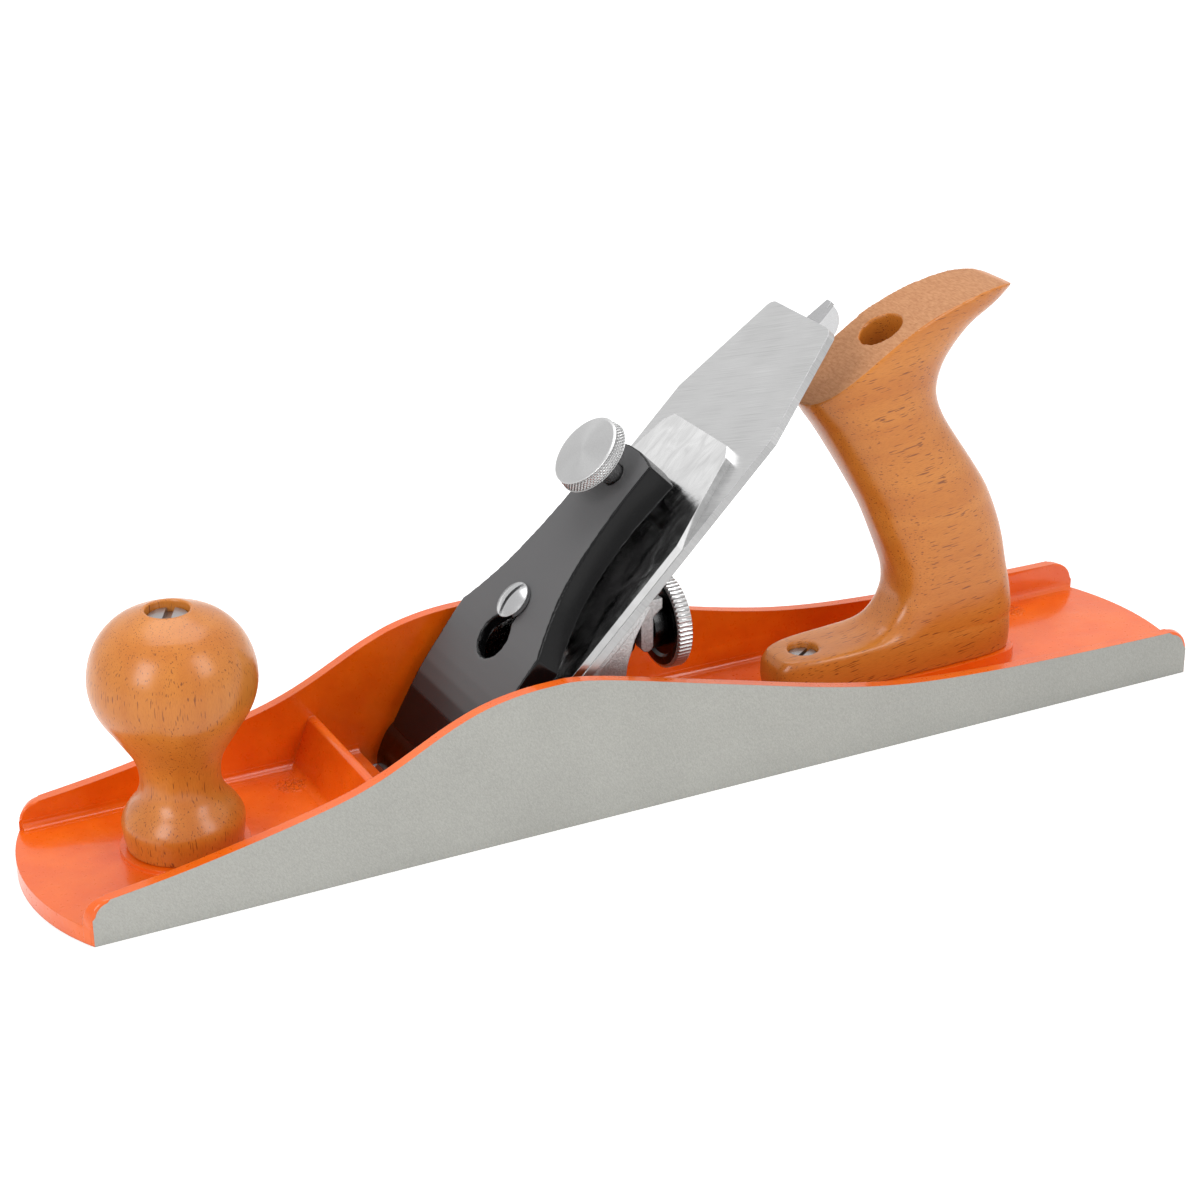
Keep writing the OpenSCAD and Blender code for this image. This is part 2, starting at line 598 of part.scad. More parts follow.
module frog_adjust_plate() color("DarkGray") difference() {
    translate([frog_rear_x, -plate_w / 2, seat_h + free_gap])
        cube([plate_t, plate_w, plate_screw_z - seat_h + plate_past]);
    translate([0, 0, adjust_h])
        rod_x(frog_rear_x - cut, frog_rear_x + plate_t + cut, adjust_core_d + 2 * free_gap);
    translate([frog_rear_x - cut, -adjust_core_d / 2 - free_gap, 0])
        cube([plate_t + 2 * cut, adjust_core_d + 2 * free_gap, adjust_h]);
    translate([0, 0, plate_screw_z]) rod_x(frog_rear_x - cut, frog_rear_x + plate_t + cut,
        plate_screw_d + 2 * run_fit);
}

module frog_plate_screw() color("DimGray") translate([0, 0, plate_screw_z]) difference() {
    union() {
        rod_x(web_x + free_gap, frog_rear_x + plate_t + overlap, plate_screw_d);
        rod_x(frog_rear_x + plate_t, frog_rear_x + plate_t + plate_screw_head_t, plate_screw_head_d);
    }
    translate([frog_rear_x + plate_t + plate_screw_head_t, 0, 0]) rotate([0, 90, 0])
        driver_slot(plate_screw_head_d, driver_w, plate_screw_head_t / 2);
}

// Frame along the depth stud: its origin is the middle of the yoke's groove
module stud_line() translate([groove_x, 0, stud_h]) children();

module depth_stud() color("DimGray") translate([0, 0, stud_h])
    rod_x(web_x + free_gap, groove_x + wheel_front + wheel_t + stud_past, stud_d);

module depth_spool() color("DimGray") stud_line() difference() {
    union() {
        rod_x(-groove_w / 2 - flange_t, -groove_w / 2, flange_d, fine);
        rod_x(-groove_w / 2 - overlap, wheel_front, spool_core_d, fine);
        rod_x(groove_w / 2, wheel_front, flange_d, fine);
    }
    rod_x(-groove_w, wheel_front + cut, stud_d + 2 * run_fit);
}

module depth_wheel() color("Silver") stud_line() difference() {
    rod_x(wheel_front, wheel_front + wheel_t, wheel_d, fine);
    rod_x(wheel_front - cut, wheel_front + wheel_t + cut, stud_d + 2 * run_fit);
    // shallow dish behind the rim
    rod_x(wheel_front + wheel_t - dish_deep, wheel_front + wheel_t + cut, wheel_d - 2 * rim_w, fine);
}

// Two prongs astride the spool, a bar across them, a hub on the pin and a tip through the bed
module depth_yoke() color("LightGray") difference() {
    union() {
        for (side = [-1, 1]) translate([0, side * (fork_y + fork_w / 2), 0]) upright(fork_w) {
            polygon(concat([[groove_x - fork_end_r, stud_h - fork_drop]], prong_front,
                [for (i = [len(prong_rear) - 1 : -1 : 0]) prong_rear[i]],
                [[groove_x + fork_end_r, stud_h - fork_drop]]));
            translate([groove_x, stud_h - fork_drop]) circle(r = fork_end_r, $fn = small);
        }
        upright(2 * (fork_y + fork_w)) polygon([[pin_x - hub_r, bar_z], [pin_x + neck_half, bar_z],
            [pin_x + neck_half, bar_z + bar_t], [pin_x - neck_half, bar_z + bar_t]]);
        upright(hub_w) translate([pin_x - neck_half, bar_z + bar_t / 2])
            square([2 * neck_half, pin_z - bar_z - bar_t / 2]);
        translate([pin_x, 0, pin_z]) rotate([90, 0, 0])
            cylinder(h = hub_w, r = hub_r, center = true, $fn = small);
        on_bed(tip_s - tip_t / 2, -yoke_pin_drop) translate([0, -tip_w / 2, 0])
            cube([tip_t, tip_w, yoke_pin_drop + cap_iron_t - free_gap]);
    }
    translate([pin_x, 0, pin_z]) rotate([90, 0, 0])
        cylinder(h = frog_w, d = pin_d + 2 * run_fit, center = true, $fn = small);
}
// Front and rear edge of a prong, from the stud up to the bar
prong_front = [[groove_x - fork_end_r, stud_h + prong_rise], [pin_x - hub_r, bar_z + overlap]];
prong_rear = [[groove_x + fork_end_r, stud_h + prong_rise], [pin_x + neck_half, bar_z + overlap]];

module yoke_pin() color("Gray") translate([pin_x, 0, pin_z]) rotate([90, 0, 0])
    cylinder(h = 2 * (lug_y + lug_t - run_fit), d = pin_d, center = true, $fn = small);

// Strip with a round working end, an eye for its rivet and a folded finger tab
module lateral_lever() color("Silver") difference() {
    on_bed(lateral_s, lateral_h - lateral_t) union() {
        linear_extrude(lateral_t) {
            translate([-lateral_arm, 0]) circle(d = roller_d - 1, $fn = fine);
            circle(d = rivet_head_d + 3, $fn = fine);
            polygon(mirrored([[-lateral_arm, lateral_w / 2], [lateral_reach - tab_taper, lateral_w / 2],
                [lateral_reach, lateral_tip_w / 2]]));
        }
        intersection() {
            translate([lateral_reach - tab_r - tab_back, (lateral_t - lateral_w) / 2, lateral_t - free_gap])
                rotate([90, 0, 0]) cylinder(h = lateral_t, r = tab_r, center = true, $fn = fine);
            translate([0, -lateral_w, -3 * tab_r])
                cube([2 * lateral_reach, 2 * lateral_w, 3 * tab_r + lateral_t]);
        }
    }
    on_bed(lateral_s, lateral_h - lateral_t - cut)
        cylinder(h = lateral_t + 2 * cut, d = rivet_d + 2 * run_fit, $fn = small);
    on_bed(roller_s, lateral_h - lateral_t - cut)
        cylinder(h = lateral_t + 2 * cut, d = roller_pin_d + 2 * run_fit, $fn = small);
}
module lateral_roller() color("Silver") on_bed(roller_s, lateral_h) {
    cylinder(h = -lateral_h - free_gap, d = roller_d, $fn = fine);
    translate([0, 0, run_fit - lateral_t]) cylinder(h = lateral_t, d = roller_pin_d, $fn = small);
}

module lateral_rivet() color("Gray") on_bed(lateral_s, 0) {
    translate([0, 0, lateral_h]) cylinder(h = rivet_head_t, d = rivet_head_d, $fn = small);
    translate([0, 0, overlap - iron_t - frog_bed_t])
        cylinder(h = frog_bed_t + iron_t + lateral_h, d = rivet_d, $fn = small);
}

// The iron with its taper, slot and bevel
module iron() color("LightSteelBlue") difference() {
    on_bed(0, -iron_t) linear_extrude(iron_t) iron_outline();
    on_bed(0, 0) upright(iron_w + 2 * cut) polygon([[edge_rest, 0], [-2 * iron_t, 0],
        [-2 * iron_t, -2 * iron_t], [edge_rest + 2 * iron_t / tan(bevel_angle), -2 * iron_t]]);
    on_bed(0, -iron_t - cut) {
        slot(slot_s0, slot_s1, iron_slot_w, iron_t + 2 * cut);
        translate([slot_s0, 0, 0]) cylinder(h = iron_t + 2 * cut, d = slot_eye_d, $fn = fine);
    }
}
// Plan of the iron: parallel to its shoulders, tapered above them, round at both top corners
iron_taper = atan2((iron_w - iron_top_w) / 2, iron_len - iron_shoulder);
iron_corner_y = iron_top_w / 2 + iron_corner_r * (tan(iron_taper) - 1 / cos(iron_taper));
module iron_outline() polygon(mirrored(concat(
    [[edge_rest, iron_w / 2], [iron_shoulder, iron_w / 2]],
    arc(iron_len - iron_corner_r, iron_corner_y, iron_corner_r, 90 - iron_taper, 0, 8))));

module cap_iron() color("Gainsboro") difference() {
    intersection() {
        on_bed(cap_front, 0) upright(cap_w) polygon(concat(
            curve(bend_top, 6), [[cap_iron_len, cap_iron_t], [cap_iron_len, 0]], curve(bend_under, 6)));
        on_bed(0, -cut) linear_extrude(hump_h + 2 * cut) polygon(mirrored([
            [cap_front, cap_w / 2], [cap_waist, cap_w / 2],
            [cap_stop - cap_corner, cap_top_w / 2], [cap_stop, cap_top_w / 2 - cap_corner]]));
    }
    on_bed(0, -cut) {
        // long hole around the lever cap's screw
        slot(lever_screw_s - cap_hole_half, lever_screw_s + cap_hole_half,
            lever_screw_head_d + head_room, 2 * cap_iron_t + 2 * cut);
        // hole for the tip of the yoke
        translate([tip_s - tip_t / 2 - tip_room_s, -tip_w / 2 - tip_room_y, 0])
            cube([tip_t + 2 * tip_room_s, tip_w + 2 * tip_room_y, 2 * cap_iron_t + 2 * cut]);
        translate([iron_screw_s, 0, 0])
            cylinder(h = 2 * cap_iron_t + 2 * cut, d = iron_screw_d + 2 * run_fit, $fn = small);
    }
}

module cap_iron_screw() color("Gray") on_bed(iron_screw_s, -iron_t) difference() {
    union() {
        cylinder(h = iron_t + cap_iron_t - run_fit, d = iron_screw_d, $fn = small);
        translate([0, 0, -iron_screw_head_t])
            cylinder(h = iron_screw_head_t, d = iron_screw_head_d, $fn = fine);
    }
    translate([0, 0, -iron_screw_head_t]) rotate([180, 0, 0]) driver_slot(iron_screw_head_d);
}

// Plan of the lever cap: straight to its shoulders, waisted above them, round at the top
lever_front_w = lever_w - 1;
lever_r = (pow(lever_bulge, 2) + pow(lever_top_w / 2, 2)) / (2 * lever_bulge);
lever_arc = asin(lever_top_w / 2 / lever_r);
function lever_half(inset) = concat(
    [[lever_front + inset, lever_front_w / 2 - inset], [lever_shoulder - inset / 2, lever_w / 2 - inset]],
    [for (k = [[0.12, 0.68], [0.27, 0.37], [0.42, 0.19], [0.6, 0.06], [0.8, 0]])
        [lever_shoulder + (lever_top - lever_shoulder) * k[0],
         lever_top_w / 2 + (lever_w - lever_top_w) / 2 * k[1] - inset]]);
function lever_plan(inset) = mirrored(concat(
    [lever_half(inset)[0]], curve([for (i = [1 : 6]) lever_half(inset)[i]], 4),
    arc(lever_top + lever_bulge - lever_r, 0, lever_r - inset, lever_arc, 4, 6)));

// Side of the lever cap: upper face, then the arched lower edge of the skirt
lever_roof = curve([[lever_front, lever_front_h], [lever_front + 17, lever_h - 5],
                    [lever_shoulder - 8, lever_h - 2.8], [lever_shoulder + 6, lever_h - 1.5],
                    [lever_shoulder + 24, lever_h - 0.3],
                    [lever_top - 10, lever_h], [lever_top + lever_bulge + 1, lever_h]], 4);
lever_hem = curve([[lever_top + lever_bulge + 1, cap_iron_t + 2.8], [lever_top - 18, cap_iron_t + 4.1],
                   [lever_shoulder + 24, cap_iron_t + 4.2], [lever_shoulder, cap_iron_t + 2.8],
                   [lever_shoulder - 24, cap_iron_t + 1.6], [lever_front + 3, hump_h + 0.02],
                   [lever_front, hump_h + 0.3]], 4);

// Roof of the hollow: distance behind the shoulders and depth below the plate
lever_hollow = [[-24, lever_h - lever_plate_t], [-20, 4.4], [8, 1.6], [24, 0.8]];

module lever_cap() color("#202020") difference() {
    intersection() {
        on_bed(0, 0) linear_extrude(2 * lever_h) polygon(lever_plan(0));
        on_bed(0, 0) upright(2 * lever_w) polygon(concat(lever_roof, lever_hem));
    }
    // hollow under the plate
    intersection() {
        on_bed(0, 0) linear_extrude(2 * lever_h) polygon(lever_plan(lever_plate_t));
        on_bed(0, 0) upright(2 * lever_w) polygon(concat(
            [for (k = lever_hollow) [lever_shoulder + k[0], lever_h - lever_plate_t - k[1]]],
            [[lever_top + lever_bulge, lever_h - lever_plate_t - lever_hollow[3][1]],
             [lever_top + lever_bulge, 0]]));
    }
    // keyhole: the head passes its wide end, the shank sits in its narrow end
    on_bed(0, 0) {
        translate([lever_screw_s - keyhole_travel, 0, 0])
            cylinder(h = 2 * lever_h, d = lever_screw_head_d + head_room, $fn = fine);
        slot(lever_screw_s - keyhole_travel, lever_screw_s, lever_screw_d + 2 * free_gap, 2 * lever_h);
    }
    on_bed(thumb_s, 0) cylinder(h = 2 * lever_h, d = shank_d + 2 * run_fit, $fn = small);
}

module lever_cap_screw() color("Silver") on_bed(lever_screw_s, 0) difference() {
    union() {
        translate([0, 0, lever_screw_root])
            cylinder(h = lever_seat_h - lever_screw_root + overlap, d = lever_screw_d, $fn = small);
        translate([0, 0, lever_seat_h]) cylinder(h = lever_head_t, d = lever_screw_head_d, $fn = fine);
        translate([0, 0, lever_seat_h + lever_head_t]) intersection() {
            translate([0, 0, dome_h - dome_r]) sphere(r = dome_r, $fn = fine);
            cylinder(h = 2 * dome_h, d = lever_screw_head_d, $fn = fine);
        }
    }
    translate([0, 0, lever_seat_h + lever_head_t + dome_h])
        driver_slot(lever_screw_head_d, lever_slot_w, dome_h + overlap);
}

module thumb_screw_shank() color("Gray") on_bed(thumb_s, 0) {
    translate([0, 0, cap_iron_t + free_gap])
        cylinder(h = lever_h + thumb_gap - cap_iron_t - free_gap, d = shank_d, $fn = small);
}

module thumb_screw_head() color("Silver") on_bed(thumb_s, lever_h + thumb_gap) {
    rotate_extrude($fn = fine) polygon([[0, 0], [collar_d / 2 - bevel, 0], [collar_d / 2, bevel],
        [collar_d / 2, collar_t], [thumb_d / 2 - bevel, collar_t], [thumb_d / 2, collar_t + bevel],
        [thumb_d / 2, thumb_head_t - bevel], [thumb_d / 2 - bevel, thumb_head_t], [0, thumb_head_t + crown]]);
}

// Turned outline of the knob as radius and height, from the nut's recess down to its foot
module front_knob() color("Peru") translate([knob_x, 0, knob_foot_z]) difference() {
    rotate_extrude($fn = fine) polygon(concat([[0, 0], [0, knob_h]], curve([
        [knob_recess_d / 2, knob_h], [knob_d * 0.33, knob_h - 3.9], [knob_d * 0.45, knob_h - 10.2],
        [knob_d / 2, knob_h - 18.6], [knob_d * 0.468, knob_h - 26.4], [knob_d * 0.36, knob_h - 34.4],
        [knob_waist_d / 2 + 1.1, knob_h - 41.4], [knob_waist_d / 2, 19.4], [knob_waist_d / 2 + 1.1, 14.8],
        [knob_foot_d / 2 - 1.6, 11], [knob_foot_d / 2, 7.6], [knob_foot_d / 2 - 0.2, 4],
        [knob_foot_d / 2 - 0.9, 0]], 5)));
    translate([0, 0, -cut]) cylinder(h = knob_h + 2 * cut, d = bolt_d + 2 * run_fit, $fn = small);
    translate([0, 0, knob_nut_seat]) cylinder(h = knob_h, d = knob_nut_d + 2 * run_fit, $fn = fine);
}

module front_knob_nut() color("Silver")
    translate([knob_x, 0, knob_foot_z + knob_nut_seat]) barrel_nut(knob_nut_d, knob_nut_t);
module front_knob_bolt() color("Gray") translate([knob_x, 0, bolt_end_z + run_fit])
    cylinder(h = knob_foot_z + knob_nut_seat + bolt_grip - bolt_end_z, d = bolt_d, $fn = small);

// Slotted nut with a bore for the bolt, standing on its lower face
module barrel_nut(d, t) difference() {
    union() {
        cylinder(h = t - nut_bevel, d = d, $fn = fine);
        translate([0, 0, t - nut_bevel])
            cylinder(h = nut_bevel, d1 = d, d2 = d - 2 * nut_bevel, $fn = fine);
    }
    translate([0, 0, -cut]) cylinder(h = t - nut_cap_t + cut, d = bolt_d + 2 * run_fit, $fn = small);
    translate([0, 0, t]) rotate(nut_turn) driver_slot(d, nut_slot_w, nut_slot_deep);
}

// Levels of the tote: share of its height, front, back and half thickness
tote_grip_w = tote_t / 2;
tote_levels = [
    [0, 2.4, 83, 0.86], [0.03, 1.6, 83.4, 0.88], [0.065, 1.8, 83.4, 0.89], [0.085, 3.2, 83.3, 0.88],
    [0.097, 6.4, 83.2, 0.87], [0.106, 27, 83.1, 0.87], [0.13, 37.2, 82.8, 0.88], [0.19, 42.6, 81.4, 0.9],
    [0.25, 42.6, 80, 0.92], [0.31, 40, 79, 0.95], [0.38, 36.3, 77, 0.98], [0.46, 31.9, 73.2, 1],
    [0.54, 26.6, 67.2, 1], [0.62, 20.9, 60.7, 1], [0.68, 16.4, 56.3, 1], [0.735, 11.8, 54.1, 1],
    [0.79, 8, 54.9, 1], [0.85, 4.4, 58.6, 1.02], [0.91, 1.6, 65, 1.04], [0.96, -0.5, 74, 1.04],
    [1.03, -2, 82, 1]];
tote_rise = tote_h - tote_foot_z;
tote_rings = curve(tote_levels, 3);
tote_sides = 40;
function squared(a, p) = sign(a) * pow(abs(a), p);
// A ring is an oval with flattened sides: flatter toward the foot and again toward the horn
function tote_flat(k) = k < 0.2 ? 0.5 : min(0.5 + (k - 0.2) * 1.6, 0.86, 0.86 - (k - 0.82) * 1.2);
function tote_ring(k) = let (
        mid = tote_front_x + (k[1] + k[2]) / 2, half = (k[2] - k[1]) / 2,
        thick = tote_grip_w * k[3], flat = tote_flat(k[0]))
    [for (i = [0 : tote_sides - 1]) let (a = 360 * i / tote_sides)
        [mid + half * squared(cos(a), flat), thick * squared(sin(a), flat),
         tote_foot_z + tote_rise * k[0]]];
module tote_blank() {
    rings = [for (k = tote_rings) tote_ring(k)];
    n = tote_sides;
    last = len(rings) - 1;
    polyhedron(
        points = [for (r = rings, p = r) p],
        faces = concat(
            [[for (i = [0 : n - 1]) i]],
            [for (j = [0 : last - 1], i = [0 : n - 1]) let (a = j * n + i, b = j * n + (i + 1) % n)
                [a, a + n, b]],
            [for (j = [0 : last - 1], i = [0 : n - 1]) let (a = j * n + i, b = j * n + (i + 1) % n)
                [b, a + n, b + n]],
            [[for (i = [n - 1 : -1 : 0]) last * n + i]]));
}
// Flat-sawn upper face, as depth below the horn over distance from the tote's front
tote_top_line = curve([[0, -tote_corner_drop], [9.5, -28.4], [19.4, -21.2], [29.2, -14.4], [39.6, -8.2],
                       [50, -3.9], [62, -0.8], [70, 0], [74.5, -0.5], [77, -1.8], [78.6, -4.2],
                       [79.4, -8]], 4);

// Line of the tote's bolt, from the casting up to the nut
tote_nut_x = tote_front_x + 36.4;
tote_nut_z = tote_h - 9.9;
tote_bolt_x = tote_front_x + 64;
tote_bolt_tilt = atan2(tote_nut_z - bolt_end_z, tote_bolt_x - tote_nut_x);
nut_sink = 14;
nut_seat = 3;
tote_bolt_len = norm([tote_nut_z - bolt_end_z, tote_bolt_x - tote_nut_x]) - nut_sink;
module tote_bolt_line()
    translate([tote_bolt_x, 0, bolt_end_z]) rotate([0, tote_bolt_tilt - 180, 0]) children();

module tote() color("Peru") difference() {
    tote_blank();
    upright(2 * tote_t) polygon(concat([for (p = tote_top_line) [tote_front_x + p[0], tote_h + p[1]]],
        [[tote_front_x + 2 * tote_foot_len, 2 * tote_h], [tote_front_x - tote_t, 2 * tote_h],
         [tote_front_x - tote_t, tote_h - tote_corner_drop - tote_t]]));
    tote_bolt_line() {
        rod_x(-cut, tote_bolt_len + cut, bolt_d + 2 * run_fit);
        rod_x(tote_bolt_len - nut_seat, tote_bolt_len + 3 * nut_sink, tote_nut_d, fine);
    }
    translate([toe_screw_x, 0, 0]) {
        cylinder(h = tote_h / 2, d = toe_screw_shank_d + 2 * run_fit, $fn = small);
        translate([0, 0, toe_screw_seat])
            cylinder(h = tote_h / 4, d = toe_screw_d + 2 * free_gap, $fn = fine);
    }
}

module tote_bolt() color("Gray") tote_bolt_line()
    rod_x(free_gap, tote_bolt_len - nut_seat + bolt_grip, bolt_d);
module tote_nut() color("Silver") tote_bolt_line()
    translate([tote_bolt_len - nut_seat, 0, 0]) rotate([0, 90, 0])
        barrel_nut(tote_nut_d - 4 * run_fit, tote_nut_t);
module tote_toe_screw() color("Silver") translate([toe_screw_x, 0, 0]) difference() {
    union() {
        translate([0, 0, bolt_end_z + run_fit])
            cylinder(h = toe_screw_seat - bolt_end_z + overlap, d = toe_screw_shank_d, $fn = small);
        translate([0, 0, toe_screw_seat]) cylinder(h = toe_screw_head_t, d = toe_screw_d, $fn = fine);
    }
    translate([0, 0, toe_screw_seat + toe_screw_head_t]) rotate(toe_screw_turn) driver_slot(toe_screw_d);
}

body_casting();
frog();
frog_screws();
frog_screw_washers();
frog_adjust_screw();
frog_adjust_plate();
frog_plate_screw();
depth_yoke();
yoke_pin();
depth_stud();
depth_spool();
depth_wheel();
lateral_lever();
lateral_roller();
lateral_rivet();
iron();
cap_iron();
cap_iron_screw();
lever_cap();
lever_cap_screw();
thumb_screw_shank();
thumb_screw_head();
front_knob();
front_knob_bolt();
front_knob_nut();
tote();
tote_bolt();
tote_nut();
tote_toe_screw();
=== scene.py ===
"""Looks of the jack plane: an orange cast body with bright ground cheeks, beech knob and tote,
a black lever cap and steel irons, lit in a white studio. Sizes are in millimetres, times MM where
Blender needs metres; colours are the red, green and blue display values."""
import json
import math
import bmesh
import bpy
from mathutils import Matrix, Vector

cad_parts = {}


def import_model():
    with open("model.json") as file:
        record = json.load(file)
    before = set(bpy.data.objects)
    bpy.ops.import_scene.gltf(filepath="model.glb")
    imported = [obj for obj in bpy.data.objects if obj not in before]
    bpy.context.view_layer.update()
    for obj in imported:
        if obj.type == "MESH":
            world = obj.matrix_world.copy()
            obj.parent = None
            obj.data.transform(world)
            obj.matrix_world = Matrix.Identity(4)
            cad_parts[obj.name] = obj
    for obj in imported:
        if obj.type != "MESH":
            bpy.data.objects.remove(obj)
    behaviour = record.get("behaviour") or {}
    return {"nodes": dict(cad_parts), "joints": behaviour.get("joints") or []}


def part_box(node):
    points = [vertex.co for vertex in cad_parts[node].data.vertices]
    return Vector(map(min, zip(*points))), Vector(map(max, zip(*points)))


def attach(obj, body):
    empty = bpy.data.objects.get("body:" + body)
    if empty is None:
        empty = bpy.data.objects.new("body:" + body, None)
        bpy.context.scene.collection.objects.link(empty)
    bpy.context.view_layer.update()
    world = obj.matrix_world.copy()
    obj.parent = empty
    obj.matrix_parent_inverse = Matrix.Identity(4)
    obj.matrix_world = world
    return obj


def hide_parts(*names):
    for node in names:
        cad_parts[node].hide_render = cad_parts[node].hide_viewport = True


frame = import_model()
nodes = frame["nodes"]
joints = {j["name"]: j for j in frame["joints"]}
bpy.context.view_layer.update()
MM = 0.001
UP_BED = Vector((math.sqrt(0.5), 0, math.sqrt(0.5)))      # from the cutting edge up the iron
OFF_BED = Vector((-math.sqrt(0.5), 0, math.sqrt(0.5)))    # square to the iron, out of its face
EDGE = Vector((-70.5, 0, 0)) * MM                         # where the iron's face meets the sole
FLOOR_TOP = 5.0                                           # upper face of the cast floor
WALL = 3.2                                                # thickness of the body's side walls


def node_box(name):
    """Lowest and highest corner of a CAD node in millimetres."""
    low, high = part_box(name)
    return low / MM, high / MM


# Materials

class Graph:
    """A material whose nodes are made and joined by short calls."""

    def __init__(self, name):
        self.material = bpy.data.materials.new(name)
        self.material.use_nodes = True
        self.tree = self.material.node_tree
        self.bsdf = self.tree.nodes["Principled BSDF"]
        self.output = self.tree.nodes["Material Output"]
        self.place = self.add("TexCoord").outputs["Object"]

    def add(self, kind, inputs=None, **settings):
        node = self.tree.nodes.new("ShaderNode" + kind)
        for key, value in settings.items():
            setattr(node, key, value)
        for key, value in (inputs or {}).items():
            self.feed(node.inputs[key], value)
        return node

    def feed(self, socket, value):
        if isinstance(value, bpy.types.NodeSocket):
            self.tree.links.new(value, socket)
        else:
            socket.default_value = value

    def set(self, **values):
        for key, value in values.items():
            self.feed(self.bsdf.inputs[key.replace("_", " ")], value)

    def mapped(self, scale, turn=(0, 0, 0)):
        """Coordinates in millimetres, turned by degrees and then scaled along each axis."""
        turned = self.add("Mapping", {"Vector": self.place, "Rotation": [math.radians(a) for a in turn]})
        stretch = [k / MM for k in scale]
        return self.add("Mapping", {"Vector": turned.outputs[0], "Scale": stretch}).outputs[0]

    def noise(self, scale, turn=(0, 0, 0), detail=2.0, roughness=0.5, distortion=0.0):
        """Noise whose features are about 1 / scale millimetres wide along each axis."""
        if not isinstance(scale, tuple):
            scale = (scale,) * 3
        node = self.add("TexNoise", {"Vector": self.mapped(scale, turn), "Scale": 1.0, "Detail": detail,
                                     "Roughness": roughness, "Distortion": distortion})
        return node.outputs["Fac"]

    def toward(self, direction, start=(0, 0, 0)):
        """How far the place lies along a direction, in metres from a start."""
        apart = self.add("VectorMath", operation="SUBTRACT")
        self.feed(apart.inputs[0], self.place)
        self.feed(apart.inputs[1], tuple(start))
        dot = self.add("VectorMath", operation="DOT_PRODUCT")
        self.feed(dot.inputs[0], apart.outputs[0])
        self.feed(dot.inputs[1], tuple(direction))
        return dot.outputs["Value"]

    def scratches(self, along, off, long, short, detail=3.0):
        """Noise drawn out along a direction in the plane that faces off: sizes in millimetres."""
        across = Vector(along).cross(Vector(off)).normalized()
        flat = self.add("CombineXYZ", {
            "X": self.math("MULTIPLY", self.toward(along), 1 / (long * MM)),
            "Y": self.math("MULTIPLY", self.toward(across), 1 / (short * MM))}).outputs[0]
        node = self.add("TexNoise", {"Vector": flat, "Scale": 1.0, "Detail": detail, "Roughness": 0.6})
        return node.outputs["Fac"]

    def math(self, operation, a, b=0.0):
        node = self.add("Math", operation=operation)
        self.feed(node.inputs[0], a)
        self.feed(node.inputs[1], b)
        return node.outputs[0]

    def ramp(self, value, low, high, start=0.0, end=1.0):
        """The value mapped from low..high to start..end, and held beyond them."""
        node = self.add("MapRange", {"Value": value, "From Min": low, "From Max": high,
                                     "To Min": start, "To Max": end})
        return node.outputs[0]

    def mix(self, share, a, b):
        node = self.add("Mix", data_type="RGBA")
        self.feed(node.inputs["Factor"], share)
        self.feed(node.inputs[6], a)
        self.feed(node.inputs[7], b)
        return node.outputs[2]

    def along(self, name):
        """The place along one axis, in metres."""
        return self.add("SeparateXYZ", {"Vector": self.place}).outputs[name]

    def grey(self, shade, blue=1.0):
        """A neutral colour from a shade, with more or less blue in it."""
        last = shade if blue == 1.0 else self.math("MULTIPLY", shade, blue)
        return self.add("CombineColor", {"Red": shade, "Green": shade, "Blue": last}).outputs[0]

    def facing(self, direction, shading=True):
        """How far the surface faces a direction, from -1 to 1."""
        normal = self.add("NewGeometry").outputs["Normal" if shading else "True Normal"]
        dot = self.add("VectorMath", operation="DOT_PRODUCT")
        self.feed(dot.inputs[0], normal)
        self.feed(dot.inputs[1], direction)
        return dot.outputs["Value"]

    def painted_side_shade(self, tone, share):
        """The tone, times a share on faces that look straight left or right: painted shade on the sides."""
        sideways = self.math("ABSOLUTE", self.facing((0, 1, 0), shading=False))
        return self.math("MULTIPLY", tone, self.ramp(sideways, 0.9, 0.99, 1.0, share))

    def relief(self, *heights, edge=0.0):
        """Normals from heights in millimetres laid over one another, with sharp edges rounded by edge."""
        normal = None
        if edge:
            normal = self.add("Bevel", {"Radius": edge * MM}, samples=6).outputs[0]
        for height, depth in heights:
            bump = self.add("Bump", {"Height": height, "Distance": depth * MM, "Strength": 1.0})
            if normal:
                self.feed(bump.inputs["Normal"], normal)
            normal = bump.outputs[0]
        return normal


def rgb(red, green, blue):
    """A colour from its 0 to 255 display values."""
    def linear(v):
        v /= 255
        return v / 12.92 if v <= 0.04045 else ((v + 0.055) / 1.055) ** 2.4
    return (linear(red), linear(green), linear(blue), 1.0)


def steel(name, tone, roughness, grain=(0.5, 8.0, 8.0), turn=(0, 0, 0), mottle=0.06, edge=0.15, depth=0.004):
    """Bare metal with a fine directional grain, cloudy tone and lightly broken edges."""
    g = Graph(name)
    lines = g.noise(grain, turn, detail=4.0, roughness=0.65)
    clouds = g.noise(0.12, detail=3.0)
    shade = g.math("ADD", g.ramp(lines, 0.3, 0.7, tone * (1 - mottle), tone * (1 + mottle)),
                   g.ramp(clouds, 0.3, 0.7, -tone * mottle / 2, tone * mottle / 2))
    g.set(Base_Color=g.grey(shade, blue=1.01), Metallic=1.0,
          Roughness=g.ramp(g.math("ADD", lines, clouds), 0.7, 1.3, roughness * 0.8, roughness * 1.2),
          Normal=g.relief((lines, depth), edge=edge))
    return g.material


